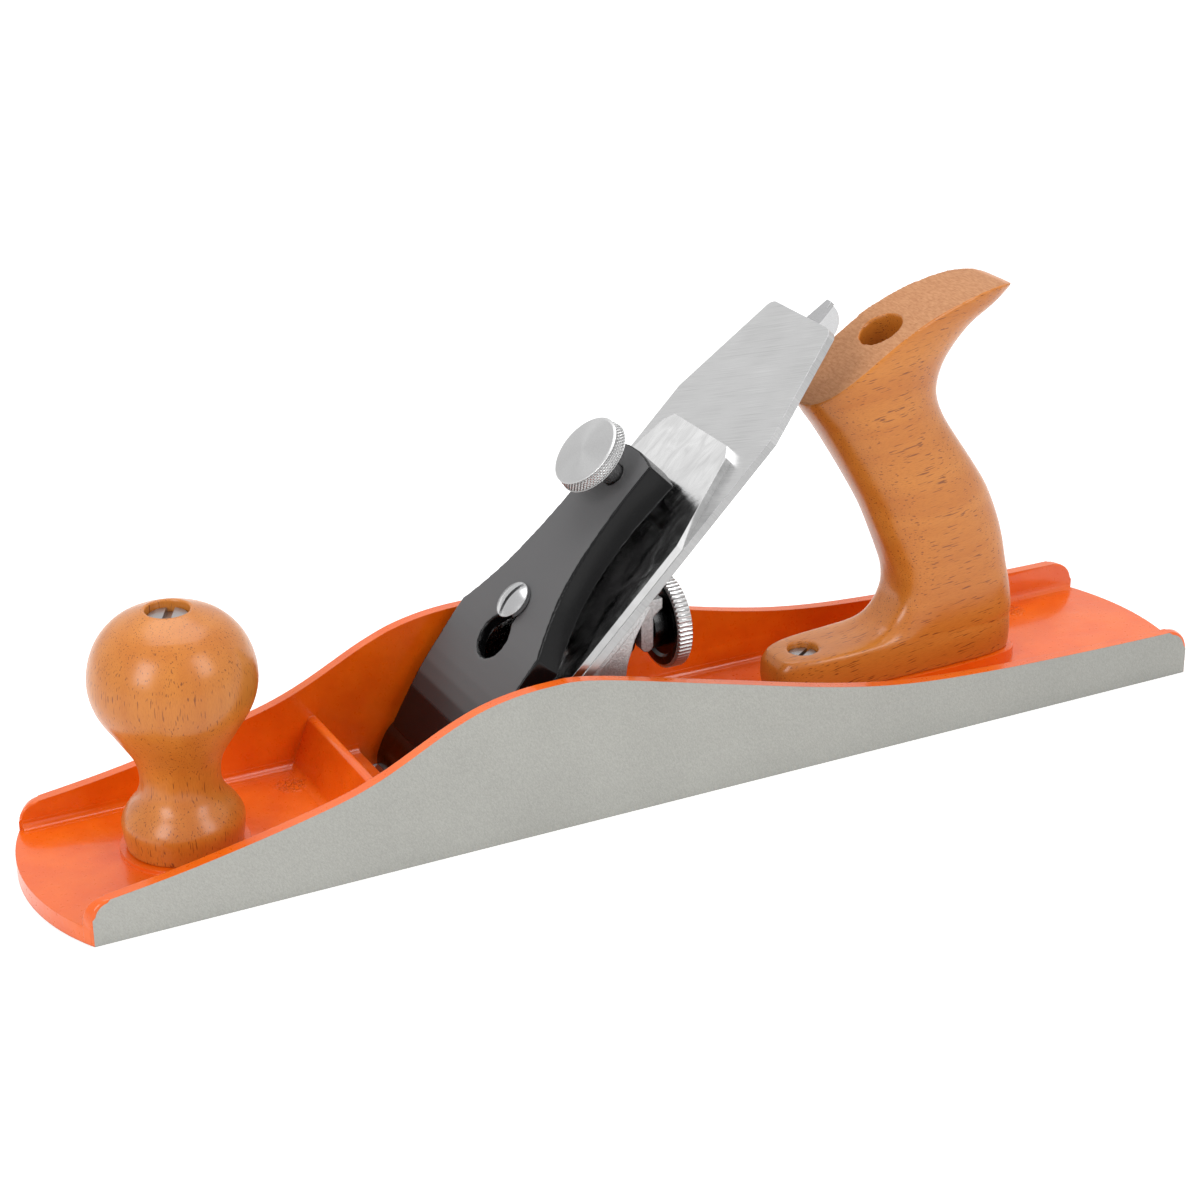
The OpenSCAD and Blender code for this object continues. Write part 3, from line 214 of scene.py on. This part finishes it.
def enamel():
    """Orange enamel over a sand casting; the outer cheeks and the sole are ground bright."""
    rib_x = -85
    lumps_at = ((-98, 18), (145, 22))
    g = Graph("orange_enamel")
    peel = g.noise(0.8, detail=2.0)
    swell = g.noise(0.11, detail=3.0)
    grit = g.noise(2.4, detail=3.0, roughness=0.6)
    from_rib = g.math("ABSOLUTE", g.math("SUBTRACT", g.along("X"), rib_x * MM))
    near_rib = g.ramp(from_rib, 20 * MM, 50 * MM, 1.0, 0.25)
    # small lumps that the sand mould left on the floor beside the knob and near the heel
    lumps = None
    for x, y in lumps_at:
        apart = g.add("VectorMath", operation="DISTANCE")
        g.feed(apart.inputs[0], g.place)
        g.feed(apart.inputs[1], (x * MM, y * MM, FLOOR_TOP * MM))
        spot = g.ramp(apart.outputs["Value"], 2.5 * MM, 5 * MM, 1.0, 0.0)
        lumps = g.math("ADD", lumps, spot) if lumps else spot
    lumps = g.math("MULTIPLY", lumps, g.ramp(g.noise(0.8, detail=1.0), 0.45, 0.58))
    tint = g.mix(g.ramp(swell, 0.35, 0.65), rgb(226, 92, 4), rgb(233, 102, 9))
    tint = g.mix(g.ramp(grit, 0.66, 0.8, 0.0, 0.25), tint, rgb(150, 40, 8))
    g.set(Base_Color=tint, Roughness=g.ramp(peel, 0.3, 0.7, 0.26, 0.38), Coat_Weight=0.5,
          Coat_Roughness=0.1, Specular_IOR_Level=0.3,
          Normal=g.relief((swell, 0.35), (peel, 0.035), (g.math("MULTIPLY", grit, near_rib), 0.05),
                          (lumps, 0.5), edge=0.4))
    # ground metal, a little darker toward the heel: painted shade for its darker reflection there
    grain = g.noise((3.5, 3.5, 1.6), (0, 30, 0), detail=4.0, roughness=0.7)
    patches = g.noise(0.03, detail=2.0)
    tone = g.math("ADD", g.ramp(grain, 0.25, 0.75, 0.29, 0.40),
                  g.ramp(patches, 0.35, 0.65, -0.008, 0.008))
    # painted shade: the ground metal darkens toward the heel
    tone = g.math("MULTIPLY", tone, g.ramp(g.along("X"), 0.0, 160 * MM, 1.0, 0.88))
    bright = g.add("BsdfPrincipled", {"Base Color": g.grey(tone, blue=0.93), "Metallic": 1.0,
                                      "Roughness": 0.52, "Normal": g.relief((grain, 0.006))})
    cheek = g.math("GREATER_THAN", g.math("ABSOLUTE", g.facing((0, 1, 0), shading=False)), 0.998)
    half = node_box("body_casting")[1].y - 0.02
    outer = g.math("GREATER_THAN", g.math("ABSOLUTE", g.along("Y")), half * MM)
    sole = g.math("LESS_THAN", g.facing((0, 0, 1), shading=False), -0.998)
    ground = g.math("MAXIMUM", g.math("MULTIPLY", cheek, outer), sole)
    both = g.add("MixShader", {0: ground, 1: g.bsdf.outputs[0], 2: bright.outputs[0]})
    g.tree.links.new(both.outputs[0], g.output.inputs["Surface"])
    return g.material


def beech(name, turn, cut_face=False):
    """Varnished beech whose grain runs along X once its place is turned, with dark flecks and,
    on the tote, a paler sawn upper face."""
    g = Graph(name)
    flecks = g.noise((0.2, 2.6, 2.6), turn, detail=1.0, roughness=0.4)
    fine = g.noise((0.5, 5.0, 5.0), turn, detail=2.0)
    rings = g.noise((0.008, 0.12, 0.12), turn, detail=3.0, distortion=0.3)
    tint = g.mix(g.ramp(rings, 0.32, 0.68), rgb(190, 110, 34), rgb(203, 126, 47))
    tint = g.mix(g.ramp(fine, 0.45, 0.75, 0.0, 0.4), tint, rgb(162, 88, 28))
    tint = g.mix(g.ramp(flecks, 0.64, 0.71, 0.0, 0.8), tint, rgb(108, 52, 16))
    rough, coat = 0.45, 0.7
    if cut_face:
        across = g.noise((1.6, 0.5, 1.6), detail=3.0)
        pale = g.mix(g.ramp(across, 0.35, 0.65), rgb(176, 122, 84), rgb(192, 140, 100))
        pale = g.mix(g.ramp(flecks, 0.62, 0.72, 0.0, 0.35), pale, rgb(140, 88, 54))
        upward = g.facing((-0.45, 0, 0.893))
        high = g.math("GREATER_THAN", g.along("Z"), 92 * MM)
        top = g.math("MULTIPLY", g.ramp(upward, 0.80, 0.86), high)
        tint = g.mix(top, tint, pale)
        rough = g.ramp(top, 0.0, 1.0, 0.45, 0.6)
        coat = g.ramp(top, 0.0, 1.0, 0.7, 0.02)
    g.set(Base_Color=tint, Roughness=rough, Coat_Weight=coat, Coat_Roughness=0.24,
          Specular_IOR_Level=0.15, Normal=g.relief((fine, 0.01), (flecks, -0.02)))
    return g.material


def lever_paint_and_sheen():
    """Satin dark grey on the face of the lever cap, gloss black on its rounded sides; the grey is partly
    paint and partly painted sheen.
    """
    g = Graph("lever_cap_paint_and_sheen")
    peel = g.noise(1.1, detail=2.0)
    dust = g.noise(6.0, detail=1.0)
    # painted sheen: faces square off the iron are grey, while the curved front and sides in the same paint
    # stay black
    face = g.ramp(g.facing(tuple(OFF_BED)), 0.965, 0.997)
    tone = g.mix(face, rgb(9, 9, 10), rgb(92, 92, 93))
    tone = g.mix(g.ramp(dust, 0.68, 0.8, 0.0, 0.15), tone, rgb(120, 120, 120))
    g.set(Base_Color=tone, Roughness=g.ramp(face, 0.0, 1.0, 0.22, 0.5), Specular_IOR_Level=0.22,
          Normal=g.relief((peel, 0.012)))
    return g.material


def frog_paint():
    """Silver paint over a sand-cast skin."""
    g = Graph("silver_cast_paint")
    grit = g.noise(1.9, detail=3.0, roughness=0.6)
    swell = g.noise(0.3, detail=2.0)
    tone = g.ramp(grit, 0.3, 0.7, 0.36, 0.56)
    g.set(Base_Color=g.grey(tone), Metallic=0.75, Roughness=0.42,
          Normal=g.relief((swell, 0.15), (grit, 0.14), edge=0.5))
    return g.material


def polished_cap():
    """Polished plate with cloudy streaks and painted reflection: darker toward its edge, where it mirrors the
    mouth, darker over its lower half, where it mirrors the black lever cap, and darker on its sides.
    """
    g = Graph("polished_plate")
    clouds = g.noise((0.10, 0.22, 0.10), (0, 45, 0), detail=4.0, distortion=1.2)
    lines = g.noise((0.06, 6.0, 6.0), (0, 45, 0), detail=3.0)
    level = g.toward(UP_BED, EDGE)
    tone = g.math("ADD", g.ramp(clouds, 0.3, 0.7, 0.64, 0.80), g.ramp(lines, 0.3, 0.7, -0.03, 0.03))
    # painted reflection: darker over the lower half and much darker near the edge
    tone = g.math("MULTIPLY", tone, g.ramp(level, 55 * MM, 100 * MM, 0.62, 1.0))
    tone = g.math("MULTIPLY", tone, g.ramp(level, 14 * MM, 40 * MM, 0.12, 1.0))
    # painted shade on the sides as well
    g.set(Base_Color=g.grey(g.painted_side_shade(tone, 0.75)), Metallic=1.0,
          Roughness=g.ramp(clouds, 0.35, 0.65, 0.14, 0.26),
          Normal=g.relief((clouds, 0.10), (lines, 0.002), edge=0.2))
    return g.material


def brushed_iron():
    """Ground steel with fine scratches slanting across the iron, and painted shade on its near side."""
    g = Graph("brushed_iron")
    slant = (UP_BED * 0.23 - Vector((0, 0.46, 0))).normalized()
    fine = g.scratches(slant, OFF_BED, 14, 0.16)
    sparse = g.scratches(slant, OFF_BED, 30, 0.35, detail=1.0)
    clouds = g.noise(0.05, detail=2.0)
    tone = g.math("ADD", g.ramp(fine, 0.3, 0.7, 0.47, 0.60), g.ramp(sparse, 0.62, 0.72, 0.0, -0.07))
    tone = g.math("ADD", tone, g.ramp(clouds, 0.35, 0.65, -0.02, 0.02))
    # painted shade: the faces that look left or right are darker
    g.set(Base_Color=g.grey(g.painted_side_shade(tone, 0.7)), Metallic=1.0,
          Roughness=g.ramp(fine, 0.3, 0.7, 0.3, 0.42), Normal=g.relief((fine, 0.006), edge=0.2))
    return g.material


def turned_steel(name, tone, roughness):
    """Bright turned metal with painted shade down in its knurling, whose highlights fan out around its own Z.
    """
    g = Graph(name)
    streaks = g.noise(3.0, detail=2.0)
    # painted shade: the colour darkens where ambient occlusion finds grooves
    open_sky = g.add("AmbientOcclusion", {"Distance": 0.7 * MM}, samples=8).outputs["AO"]
    shade = g.math("MULTIPLY", g.ramp(streaks, 0.3, 0.7, tone * 0.95, tone * 1.05),
                   g.ramp(open_sky, 0.45, 0.95, 0.18, 1.0))
    g.set(Base_Color=g.grey(shade), Metallic=1.0, Roughness=roughness, Anisotropic=0.75,
          Tangent=g.add("Tangent", direction_type="RADIAL", axis="Z").outputs[0],
          Normal=g.relief((streaks, 0.002), edge=0.1))
    return g.material


# Mesh helpers

def piece(name, bm, material, place=Matrix.Identity(4), smooth_angle=35):
    """A new object from a bmesh in millimetres, smooth except over edges sharper than the angle."""
    bmesh.ops.scale(bm, vec=(MM, MM, MM), verts=bm.verts)
    bmesh.ops.recalc_face_normals(bm, faces=bm.faces)
    mesh = bpy.data.meshes.new(name)
    bm.to_mesh(mesh)
    bm.free()
    mesh.polygons.foreach_set("use_smooth", [True] * len(mesh.polygons))
    mesh.set_sharp_from_angle(angle=math.radians(smooth_angle))
    mesh.materials.append(material)
    obj = bpy.data.objects.new(name, mesh)
    bpy.context.scene.collection.objects.link(obj)
    obj.matrix_world = place
    return obj


def add_prism(bm, outline, low, high, axis, round_by=0.0, rounded=None):
    """Adds an outline drawn out between two levels of an axis, and rounds the edges that a test picks."""
    order = {"X": lambda a, b, c: (c, a, b), "Y": lambda a, b, c: (a, c, b),
             "Z": lambda a, b, c: (a, b, c)}[axis]
    rings = [[bm.verts.new(order(u, v, level)) for u, v in outline] for level in (low, high)]
    faces = [bm.faces.new(rings[0]), bm.faces.new(list(reversed(rings[1])))]
    count = len(outline)
    for i in range(count):
        j = (i + 1) % count
        faces.append(bm.faces.new((rings[0][j], rings[0][i], rings[1][i], rings[1][j])))
    if round_by:
        picked = [e for e in {e for f in faces for e in f.edges} if rounded(e)]
        bmesh.ops.bevel(bm, geom=picked, offset=round_by, segments=4, affect="EDGES", profile=0.5,
                        clamp_overlap=True)


def lathe(name, profile, sides, material, place, bump=None):
    """A turned piece around its own Z from points of radius and height; bump changes the radius."""
    bm = bmesh.new()
    rings = []
    for radius, height in profile:
        ring = []
        for i in range(sides):
            a = 2 * math.pi * i / sides
            r = radius + (bump(a, radius, height) if bump else 0)
            ring.append(bm.verts.new((r * math.cos(a), r * math.sin(a), height)))
        rings.append(ring)
    for lower, upper in zip(rings, rings[1:]):
        for i in range(sides):
            j = (i + 1) % sides
            bm.faces.new((lower[i], lower[j], upper[j], upper[i]))
    bm.faces.new(rings[0])
    bm.faces.new(rings[-1])
    return piece(name, bm, material, place)


def standing(origin, direction):
    """A place whose Z points along a direction, from a point in millimetres."""
    turn = Vector(direction).to_track_quat("Z", "Y").to_matrix().to_4x4()
    return Matrix.Translation(Vector(origin) * MM) @ turn


def even_shading():
    """Geometry nodes that shade a mesh smooth except over its sharp edges."""
    weld_within, sharp_angle = 0.002, 24
    tree = bpy.data.node_groups.new("even_shading", "GeometryNodeTree")
    for way in ("INPUT", "OUTPUT"):
        tree.interface.new_socket("Geometry", in_out=way, socket_type="NodeSocketGeometry")
    weld = tree.nodes.new("GeometryNodeMergeByDistance")
    weld.inputs["Distance"].default_value = weld_within * MM
    faces = tree.nodes.new("GeometryNodeSetShadeSmooth")
    faces.domain = "FACE"
    edges = tree.nodes.new("GeometryNodeSetShadeSmooth")
    edges.domain = "EDGE"
    edges.inputs["Shade Smooth"].default_value = False
    sharp = tree.nodes.new("FunctionNodeCompare")
    sharp.operation = "GREATER_THAN"
    sharp.inputs[1].default_value = math.radians(sharp_angle)
    angle = tree.nodes.new("GeometryNodeInputMeshEdgeAngle")
    tree.links.new(angle.outputs["Unsigned Angle"], sharp.inputs[0])
    tree.links.new(sharp.outputs[0], edges.inputs["Selection"])
    chain = [tree.nodes.new("NodeGroupInput"), weld, faces, edges, tree.nodes.new("NodeGroupOutput")]
    for a, b in zip(chain, chain[1:]):
        tree.links.new(a.outputs[0], b.inputs[0])
    return tree


even = even_shading()


def dress(name, material):
    """Gives a CAD node its material and shades its curves evenly."""
    obj = nodes[name]
    obj.data.materials.clear()
    obj.data.materials.append(material)
    obj.modifiers.new("even", "NODES").node_group = even
    return obj


def soften(obj, voxel, passes):
    """Rounds a CAD node's edges all over, as casting and sanding do, without touching its mesh."""
    remesh = obj.modifiers.new("skin", "REMESH")
    remesh.mode = "VOXEL"
    remesh.voxel_size = voxel * MM
    remesh.use_smooth_shade = True
    ease = obj.modifiers.new("ease", "SMOOTH")
    ease.factor = 0.5
    ease.iterations = passes


# The cast body, rebuilt on the outlines of its CAD node with rounded rims and hollow fillets

def casting(material):
    low, high = node_box("body_casting")
    half = high.y
    inner = half - WALL
    outline = wall_outline(low.y)
    toe, heel = outline[0][0], outline[-1][0]
    toe_x, heel_x = rounded_end(low.x, 8.4, half, 1), rounded_end(high.x, 6.8, half, -1)
    bm = bmesh.new()
    body_walls(bm, outline, half, toe_x, heel_x)
    mouth_x, foot_x = body_floor(bm, half, toe_x, heel_x)
    for side in (-1, 1):
        for x0, x1 in ((toe - 1.2, mouth_x - 0.3), (foot_x + 2.0, heel + 1.0)):
            wall_cove(bm, side, inner, x0, x1)
    cross_rib(bm, inner)
    boss_and_pad(bm)
    frog_seat(bm)
    body = piece("cast_body", bm, material)
    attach(body, "plane_body")
    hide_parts("body_casting")


def wall_outline(cheek_y):
    """The wall's outline in X and Z, read from the cheek of the CAD node, from toe to heel."""
    points = {(round(v.co.x / MM, 3), round(v.co.z / MM, 3)) for v in nodes["body_casting"].data.vertices
              if v.co.y / MM < cheek_y + 0.01 and v.co.z > (FLOOR_TOP + 0.2) * MM}
    rim = sorted(points, key=lambda p: (p[0], p[1] if p[0] < 0 else -p[1]))
    return [(rim[0][0], 0.0)] + rim + [(rim[-1][0], 0.0)]


def rounded_end(tip, bulge, half, sign):
    """X over Y of an end of the sole: an arc that bulges this far; sign points into the sole."""
    radius = (bulge ** 2 + half ** 2) / (2 * bulge)
    return lambda y: tip + sign * (radius - math.sqrt(radius ** 2 - y ** 2))


def body_walls(bm, outline, half, toe_x, heel_x):
    """Side walls with rounded rims, whose ends follow the round of the toe and heel."""
    rim_round, sunk, reach = 1.15, 0.02, 9.0

    def on_rim(edge):
        a, b = (v.co for v in edge.verts)
        lowest, highest = sorted((a.z, b.z))
        return abs(a.y - b.y) < 1e-4 and lowest > FLOOR_TOP and highest > FLOOR_TOP + 0.3

    for side in (-1, 1):
        near, far = sorted((side * half, side * (half - WALL)))
        add_prism(bm, outline, near, far, "Y", rim_round, on_rim)
    toe, heel = outline[0][0], outline[-1][0]
    for v in bm.verts:
        if v.co.x < toe + reach:
            v.co.x += (toe_x(v.co.y) + sunk - toe) * (toe + reach - v.co.x) / reach
        if v.co.x > heel - reach:
            v.co.x += (heel_x(v.co.y) - sunk - heel) * (v.co.x - heel + reach) / reach


def body_floor(bm, half, toe_x, heel_x):
    """The floor ahead of and behind the mouth; returns where its upper face ends on either side."""
    edge_y, edge_round, steps = half - 1.0, 0.9, 24
    mouth_x = -73.2
    back_low, back_high = -65.3, -60.3
    outer_end = 165
    ys = [-edge_y + 2 * edge_y * i / steps for i in range(steps + 1)]

    def on_end(sign):
        def test(edge):
            a, b = (v.co for v in edge.verts)
            return (min(a.z, b.z) > FLOOR_TOP - 0.01 and abs(a.x - b.x) + abs(a.y - b.y) > 1e-3
                    and min(sign * a.x, sign * b.x) > outer_end)
        return test

    add_prism(bm, [(toe_x(y), y) for y in ys] + [(mouth_x, edge_y), (mouth_x, -edge_y)],
              0, FLOOR_TOP, "Z", edge_round, on_end(-1))
    add_prism(bm, [(heel_x(y), y) for y in ys] + [(back_high, edge_y), (back_high, -edge_y)],
              0, FLOOR_TOP, "Z", edge_round, on_end(1))
    # the back of the mouth slopes with the iron
    for v in bm.verts:
        if abs(v.co.x - back_high) < 0.01 and v.co.z < 0.01 and abs(v.co.y) < edge_y + 0.01:
            v.co.x = back_low
    return mouth_x, back_high


QUARTER = [math.radians(90 * i / 6) for i in range(7)]


def wall_cove(bm, side, inner, x0, x1):
    """Hollow fillet between the floor and a wall."""
    r, sunk = 2.4, 0.4
    cove = [(side * (inner - r + r * math.sin(a)), FLOOR_TOP + r - r * math.cos(a)) for a in QUARTER]
    cove += [(side * (inner + sunk), FLOOR_TOP + r), (side * (inner + sunk), FLOOR_TOP - sunk),
             (side * (inner - r), FLOOR_TOP - sunk)]
    add_prism(bm, cove, x0, x1, "X")


def cross_rib(bm, inner):
    """Rib ahead of the mouth: a sloping front, a rounded top and fillets at its foot."""
    top, back, foot, front = 19.2, -85.6, -92.8, -88.4
    nose_r, tail_r, back_r, foot_r = 1.1, 0.6, 2.2, 2.6
    nose = [(front + nose_r - nose_r * math.cos(a), top - nose_r + nose_r * math.sin(a)) for a in QUARTER]
    tail = [(back - tail_r + tail_r * math.sin(a), top - tail_r + tail_r * math.cos(a)) for a in QUARTER]
    back_cove = [(back + back_r - back_r * math.cos(a), FLOOR_TOP + back_r - back_r * math.sin(a))
                 for a in QUARTER]
    front_cove = [(foot - foot_r + foot_r * math.sin(a), FLOOR_TOP + foot_r - foot_r * math.cos(a))
                  for a in QUARTER]
    section = front_cove + nose + tail + back_cove
    section += [(back + back_r, FLOOR_TOP - 1), (foot - foot_r, FLOOR_TOP - 1)]
    add_prism(bm, section, -inner - 1, inner + 1, "Y")


def boss_and_pad(bm):
    """Round boss under the knob and the raised pad under the tote, read from the CAD node."""
    sunk, boss_r, boss_round, pad_round = 0.5, 17.2, 0.8, 0.5
    knob_low, knob_high = node_box("front_knob")
    tote_low, tote_high = node_box("tote")
    knob_x = (knob_low.x + knob_high.x) / 2

    def above(level):
        return lambda edge: min(v.co.z for v in edge.verts) > level - 0.01

    ring = [2 * math.pi * i / 72 for i in range(72)]
    add_prism(bm, [(knob_x + boss_r * math.cos(a), boss_r * math.sin(a)) for a in ring],
              FLOOR_TOP - sunk, knob_low.z, "Z", boss_round, above(knob_low.z))
    # the pad's rim goes round its middle; the bores in its face are left out
    middle_x, toe_x, heel_x, bore_r = 85, 45, 125, 3.2
    pad = {(round(v.co.x / MM, 2), round(v.co.y / MM, 2)) for v in nodes["body_casting"].data.vertices
           if abs(v.co.z / MM - tote_low.z) < 0.01 and v.co.x > 20 * MM and abs(v.co.y) < 20 * MM}
    pad = sorted(pad, key=lambda p: math.atan2(p[1] * 4, p[0] - middle_x))
    pad = [p for p in pad if abs(p[1]) > bore_r or p[0] < toe_x or p[0] > heel_x]
    add_prism(bm, pad, FLOOR_TOP - sunk, tote_low.z, "Z", pad_round, above(tote_low.z))


def frog_seat(bm):
    """Seat under the frog, and the boss that its adjusting screw turns in."""
    front, back, top, half = -65.3, -12.0, 7.5, 21.0
    add_prism(bm, [(front, 0.0), (front + top, top), (back, top), (back, 0.0)], -half, half, "Y")
    boss_r, boss_z, boss_foot, boss_front, boss_back = 6, 13, 4.0, 2.0, 9.0
    arch = [math.pi * i / 12 for i in range(13)]
    boss = [(boss_r * math.cos(a), boss_z + boss_r * math.sin(a)) for a in arch]
    add_prism(bm, boss + [(-boss_r, boss_foot), (boss_r, boss_foot)], boss_front, boss_back, "X")


def thumb_head(material):
    """Knurled head of the thumb screw with its ringed collar and a faintly conical face."""
    joint = joints["thumb_screw_turn"]
    shank_top = 22.4
    origin = Vector(joint["pos_m"]) / MM + OFF_BED * shank_top
    radius, pitch, depth, taper = 11.2, 1.15, 0.42, 0.5
    band_low, band_high = 1.9, 5.2
    count = round(2 * math.pi * radius / pitch)

    def diamonds(angle, r, height):
        if not band_low < height < band_high:
            return 0
        turn = angle / (2 * math.pi) * count
        rise = height / pitch
        ridges = [abs((turn + s * rise) % 1 - 0.5) * 2 for s in (-1, 1)]
        return -depth * max(ridges)

    profile = [(5.2, 0), (5.8, 0.5), (5.8, 1.2), (10.5, 1.2), (10.9, 1.5), (radius, band_low)]
    rows = 22
    profile += [(radius - taper * i / rows, band_low + (band_high - band_low) * i / rows)
                for i in range(1, rows)]
    profile += [(radius - taper, band_high), (10.3, 5.5), (9.8, 5.62), (5.0, 6.1), (0.4, 6.45)]
    head = lathe("thumb_head", profile, count * 6, material, standing(origin, OFF_BED), diamonds)
    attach(head, "thumb_head")
    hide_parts("thumb_screw_head")


def depth_wheel(rim_material, face_material):
    """Depth wheel with a straight-knurled bright rim and dark dished faces."""
    joint = joints["depth_wheel_turn"]
    axis = Vector(joint["axis"])
    wheel_back = 7.1
    origin = Vector(joint["pos_m"]) / MM + axis * wheel_back
    radius, teeth, depth, face_r = 13.6, 66, 0.38, 12.7

    def grooves(angle, r, height):
        if r < radius - 0.4:
            return 0
        return -depth * abs((angle / (2 * math.pi) * teeth) % 1 - 0.5) * 2

    profile = [(3.2, 0.9), (9.6, 0.9), (10.4, 0.1), (12.6, 0), (13.1, 0.15), (radius, 0.5), (radius, 4.3),
               (13.1, 4.65), (12.6, 4.8), (10.6, 4.8), (10.0, 3.5), (3.2, 3.5)]
    wheel = lathe("depth_wheel_rim", profile, teeth * 6, rim_material, standing(origin, axis), grooves)
    wheel.data.materials.append(face_material)
    for face in wheel.data.polygons:
        if math.hypot(face.center.x, face.center.y) < face_r * MM:
            face.material_index = 1
    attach(wheel, "wheel")
    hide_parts("depth_wheel")


orange = enamel()
casting(orange)
screw_steel = steel("screw_steel", 0.38, 0.3)
bright = steel("bright_steel", 0.46, 0.22, grain=(3.0, 3.0, 3.0), depth=0.002)
dark_steel = steel("dark_steel", 0.035, 0.25, grain=(2.0, 2.0, 2.0), depth=0.004)
thumb_head(turned_steel("turned_bright", 0.5, 0.3))
depth_wheel(turned_steel("knurled_rim", 0.5, 0.28), dark_steel)
soften(dress("front_knob", beech("knob_beech", (0, 90, 0))), 0.45, 6)
soften(dress("tote", beech("tote_beech", (0, 8, 0), cut_face=True)), 0.55, 8)
soften(dress("lever_cap", lever_paint_and_sheen()), 0.38, 7)
silver = frog_paint()
dress("frog", silver)
dress("depth_yoke", silver)
dress("iron", brushed_iron())
dress("cap_iron", polished_cap())
dress("depth_spool", dark_steel)
dress("depth_stud", screw_steel)
for name in ("frog_screws", "frog_screw_washers", "frog_adjust_screw", "frog_adjust_plate",
             "frog_plate_screw", "yoke_pin", "lateral_roller", "lateral_rivet", "cap_iron_screw",
             "thumb_screw_shank", "front_knob_bolt", "tote_bolt", "tote_toe_screw", "tote_nut",
             "front_knob_nut"):
    dress(name, screw_steel)
for name in ("lateral_lever", "lever_cap_screw"):
    dress(name, bright)


# White studio

def stage():
    size, below, lift = 6, 0.2, 0.5
    bpy.ops.mesh.primitive_plane_add(size=size)
    floor = bpy.context.object
    floor.name = "studio_floor"
    floor.location.z = -below * MM
    g = Graph("studio_floor")
    # what the camera and metal see of the floor is lifted to white; the object's shadow stays
    path = g.add("LightPath").outputs
    mirrored = g.math("MAXIMUM", path["Is Glossy Ray"], path["Is Transmission Ray"])
    seen = g.math("MAXIMUM", path["Is Camera Ray"], mirrored)
    # nothing is lifted under the sole, a painted shadow there, so that the mouth looks dark
    low, high = node_box("body_casting")
    end_margin, side_margin = 40, 1
    lengthways = g.math("LESS_THAN", g.math("ABSOLUTE", g.along("X")), (high.x - end_margin) * MM)
    across = g.math("LESS_THAN", g.math("ABSOLUTE", g.along("Y")), (high.y - side_margin) * MM)
    clear = g.math("SUBTRACT", 1.0, g.math("MULTIPLY", lengthways, across))
    g.set(Base_Color=(0.8, 0.8, 0.8, 1), Roughness=0.7, Specular_IOR_Level=0.0,
          Emission_Color=(1, 1, 1, 1),
          Emission_Strength=g.math("MULTIPLY", g.math("MULTIPLY", seen, clear), lift))
    floor.data.materials.append(g.material)


def world(strength):
    """White all round: at full strength where the camera or metal sees it, softer as light."""
    sky = bpy.data.worlds.new("studio")
    bpy.context.scene.world = sky
    sky.use_nodes = True
    tree = sky.node_tree
    path = tree.nodes.new("ShaderNodeLightPath")
    mirrored = tree.nodes.new("ShaderNodeMath")
    mirrored.operation = "MAXIMUM"
    seen = tree.nodes.new("ShaderNodeMath")
    seen.operation = "MAXIMUM"
    level = tree.nodes.new("ShaderNodeMapRange")
    level.inputs["To Min"].default_value = strength
    level.inputs["To Max"].default_value = 1.0
    back = tree.nodes["Background"]
    back.inputs["Color"].default_value = (1, 1, 1, 1)
    tree.links.new(path.outputs["Is Glossy Ray"], mirrored.inputs[0])
    tree.links.new(path.outputs["Is Transmission Ray"], mirrored.inputs[1])
    tree.links.new(path.outputs["Is Camera Ray"], seen.inputs[0])
    tree.links.new(mirrored.outputs[0], seen.inputs[1])
    tree.links.new(seen.outputs[0], level.inputs["Value"])
    tree.links.new(level.outputs[0], back.inputs["Strength"])


def softbox(name, place, aim, width, height, power):
    """A lamp with a large face; places and sizes in metres, power in watts."""
    light = bpy.data.lights.new(name, "AREA")
    light.shape = "RECTANGLE"
    light.size = width
    light.size_y = height
    light.energy = power
    obj = bpy.data.objects.new(name, light)
    bpy.context.scene.collection.objects.link(obj)
    obj.location = place
    obj.rotation_euler = (Vector(aim) - Vector(place)).to_track_quat("-Z", "Y").to_euler()


def camera():
    """The photo's camera, as fitted to the sole's edge, the rims and the iron."""
    azimuth, elevation, roll = (math.radians(a) for a in (-27.042, 23.794, -0.48))
    place = Vector((-319.58, -604.44, 348.89)) * MM
    back = Vector((math.sin(azimuth) * math.cos(elevation), -math.cos(azimuth) * math.cos(elevation),
                   math.sin(elevation)))
    right = (-back).cross(Vector((0, 0, 1))).normalized()
    up = right.cross(-back)
    right, up = (right * math.cos(roll) + up * math.sin(roll)), (up * math.cos(roll) - right * math.sin(roll))
    data = bpy.data.cameras.new("camera")
    data.lens = 80.43
    data.sensor_width = 36
    data.clip_end = 50
    obj = bpy.data.objects.new("camera", data)
    bpy.context.scene.collection.objects.link(obj)
    basis = Matrix((right, up, back)).transposed().to_4x4()
    obj.matrix_world = Matrix.Translation(place) @ basis
    bpy.context.scene.camera = obj


stage()
world(0.5)
softbox("left_box", (-1.1, -0.55, 0.7), (-0.05, 0, 0.05), 0.5, 0.8, 8)
softbox("right_box", (0.55, -1.0, 0.85), (0.0, 0, 0.05), 0.5, 0.8, 6)
softbox("top_box", (0.1, 0.3, 1.3), (0.0, 0, 0.0), 1.2, 0.9, 9)
camera()
scene = bpy.context.scene
scene.view_settings.view_transform = "Standard"
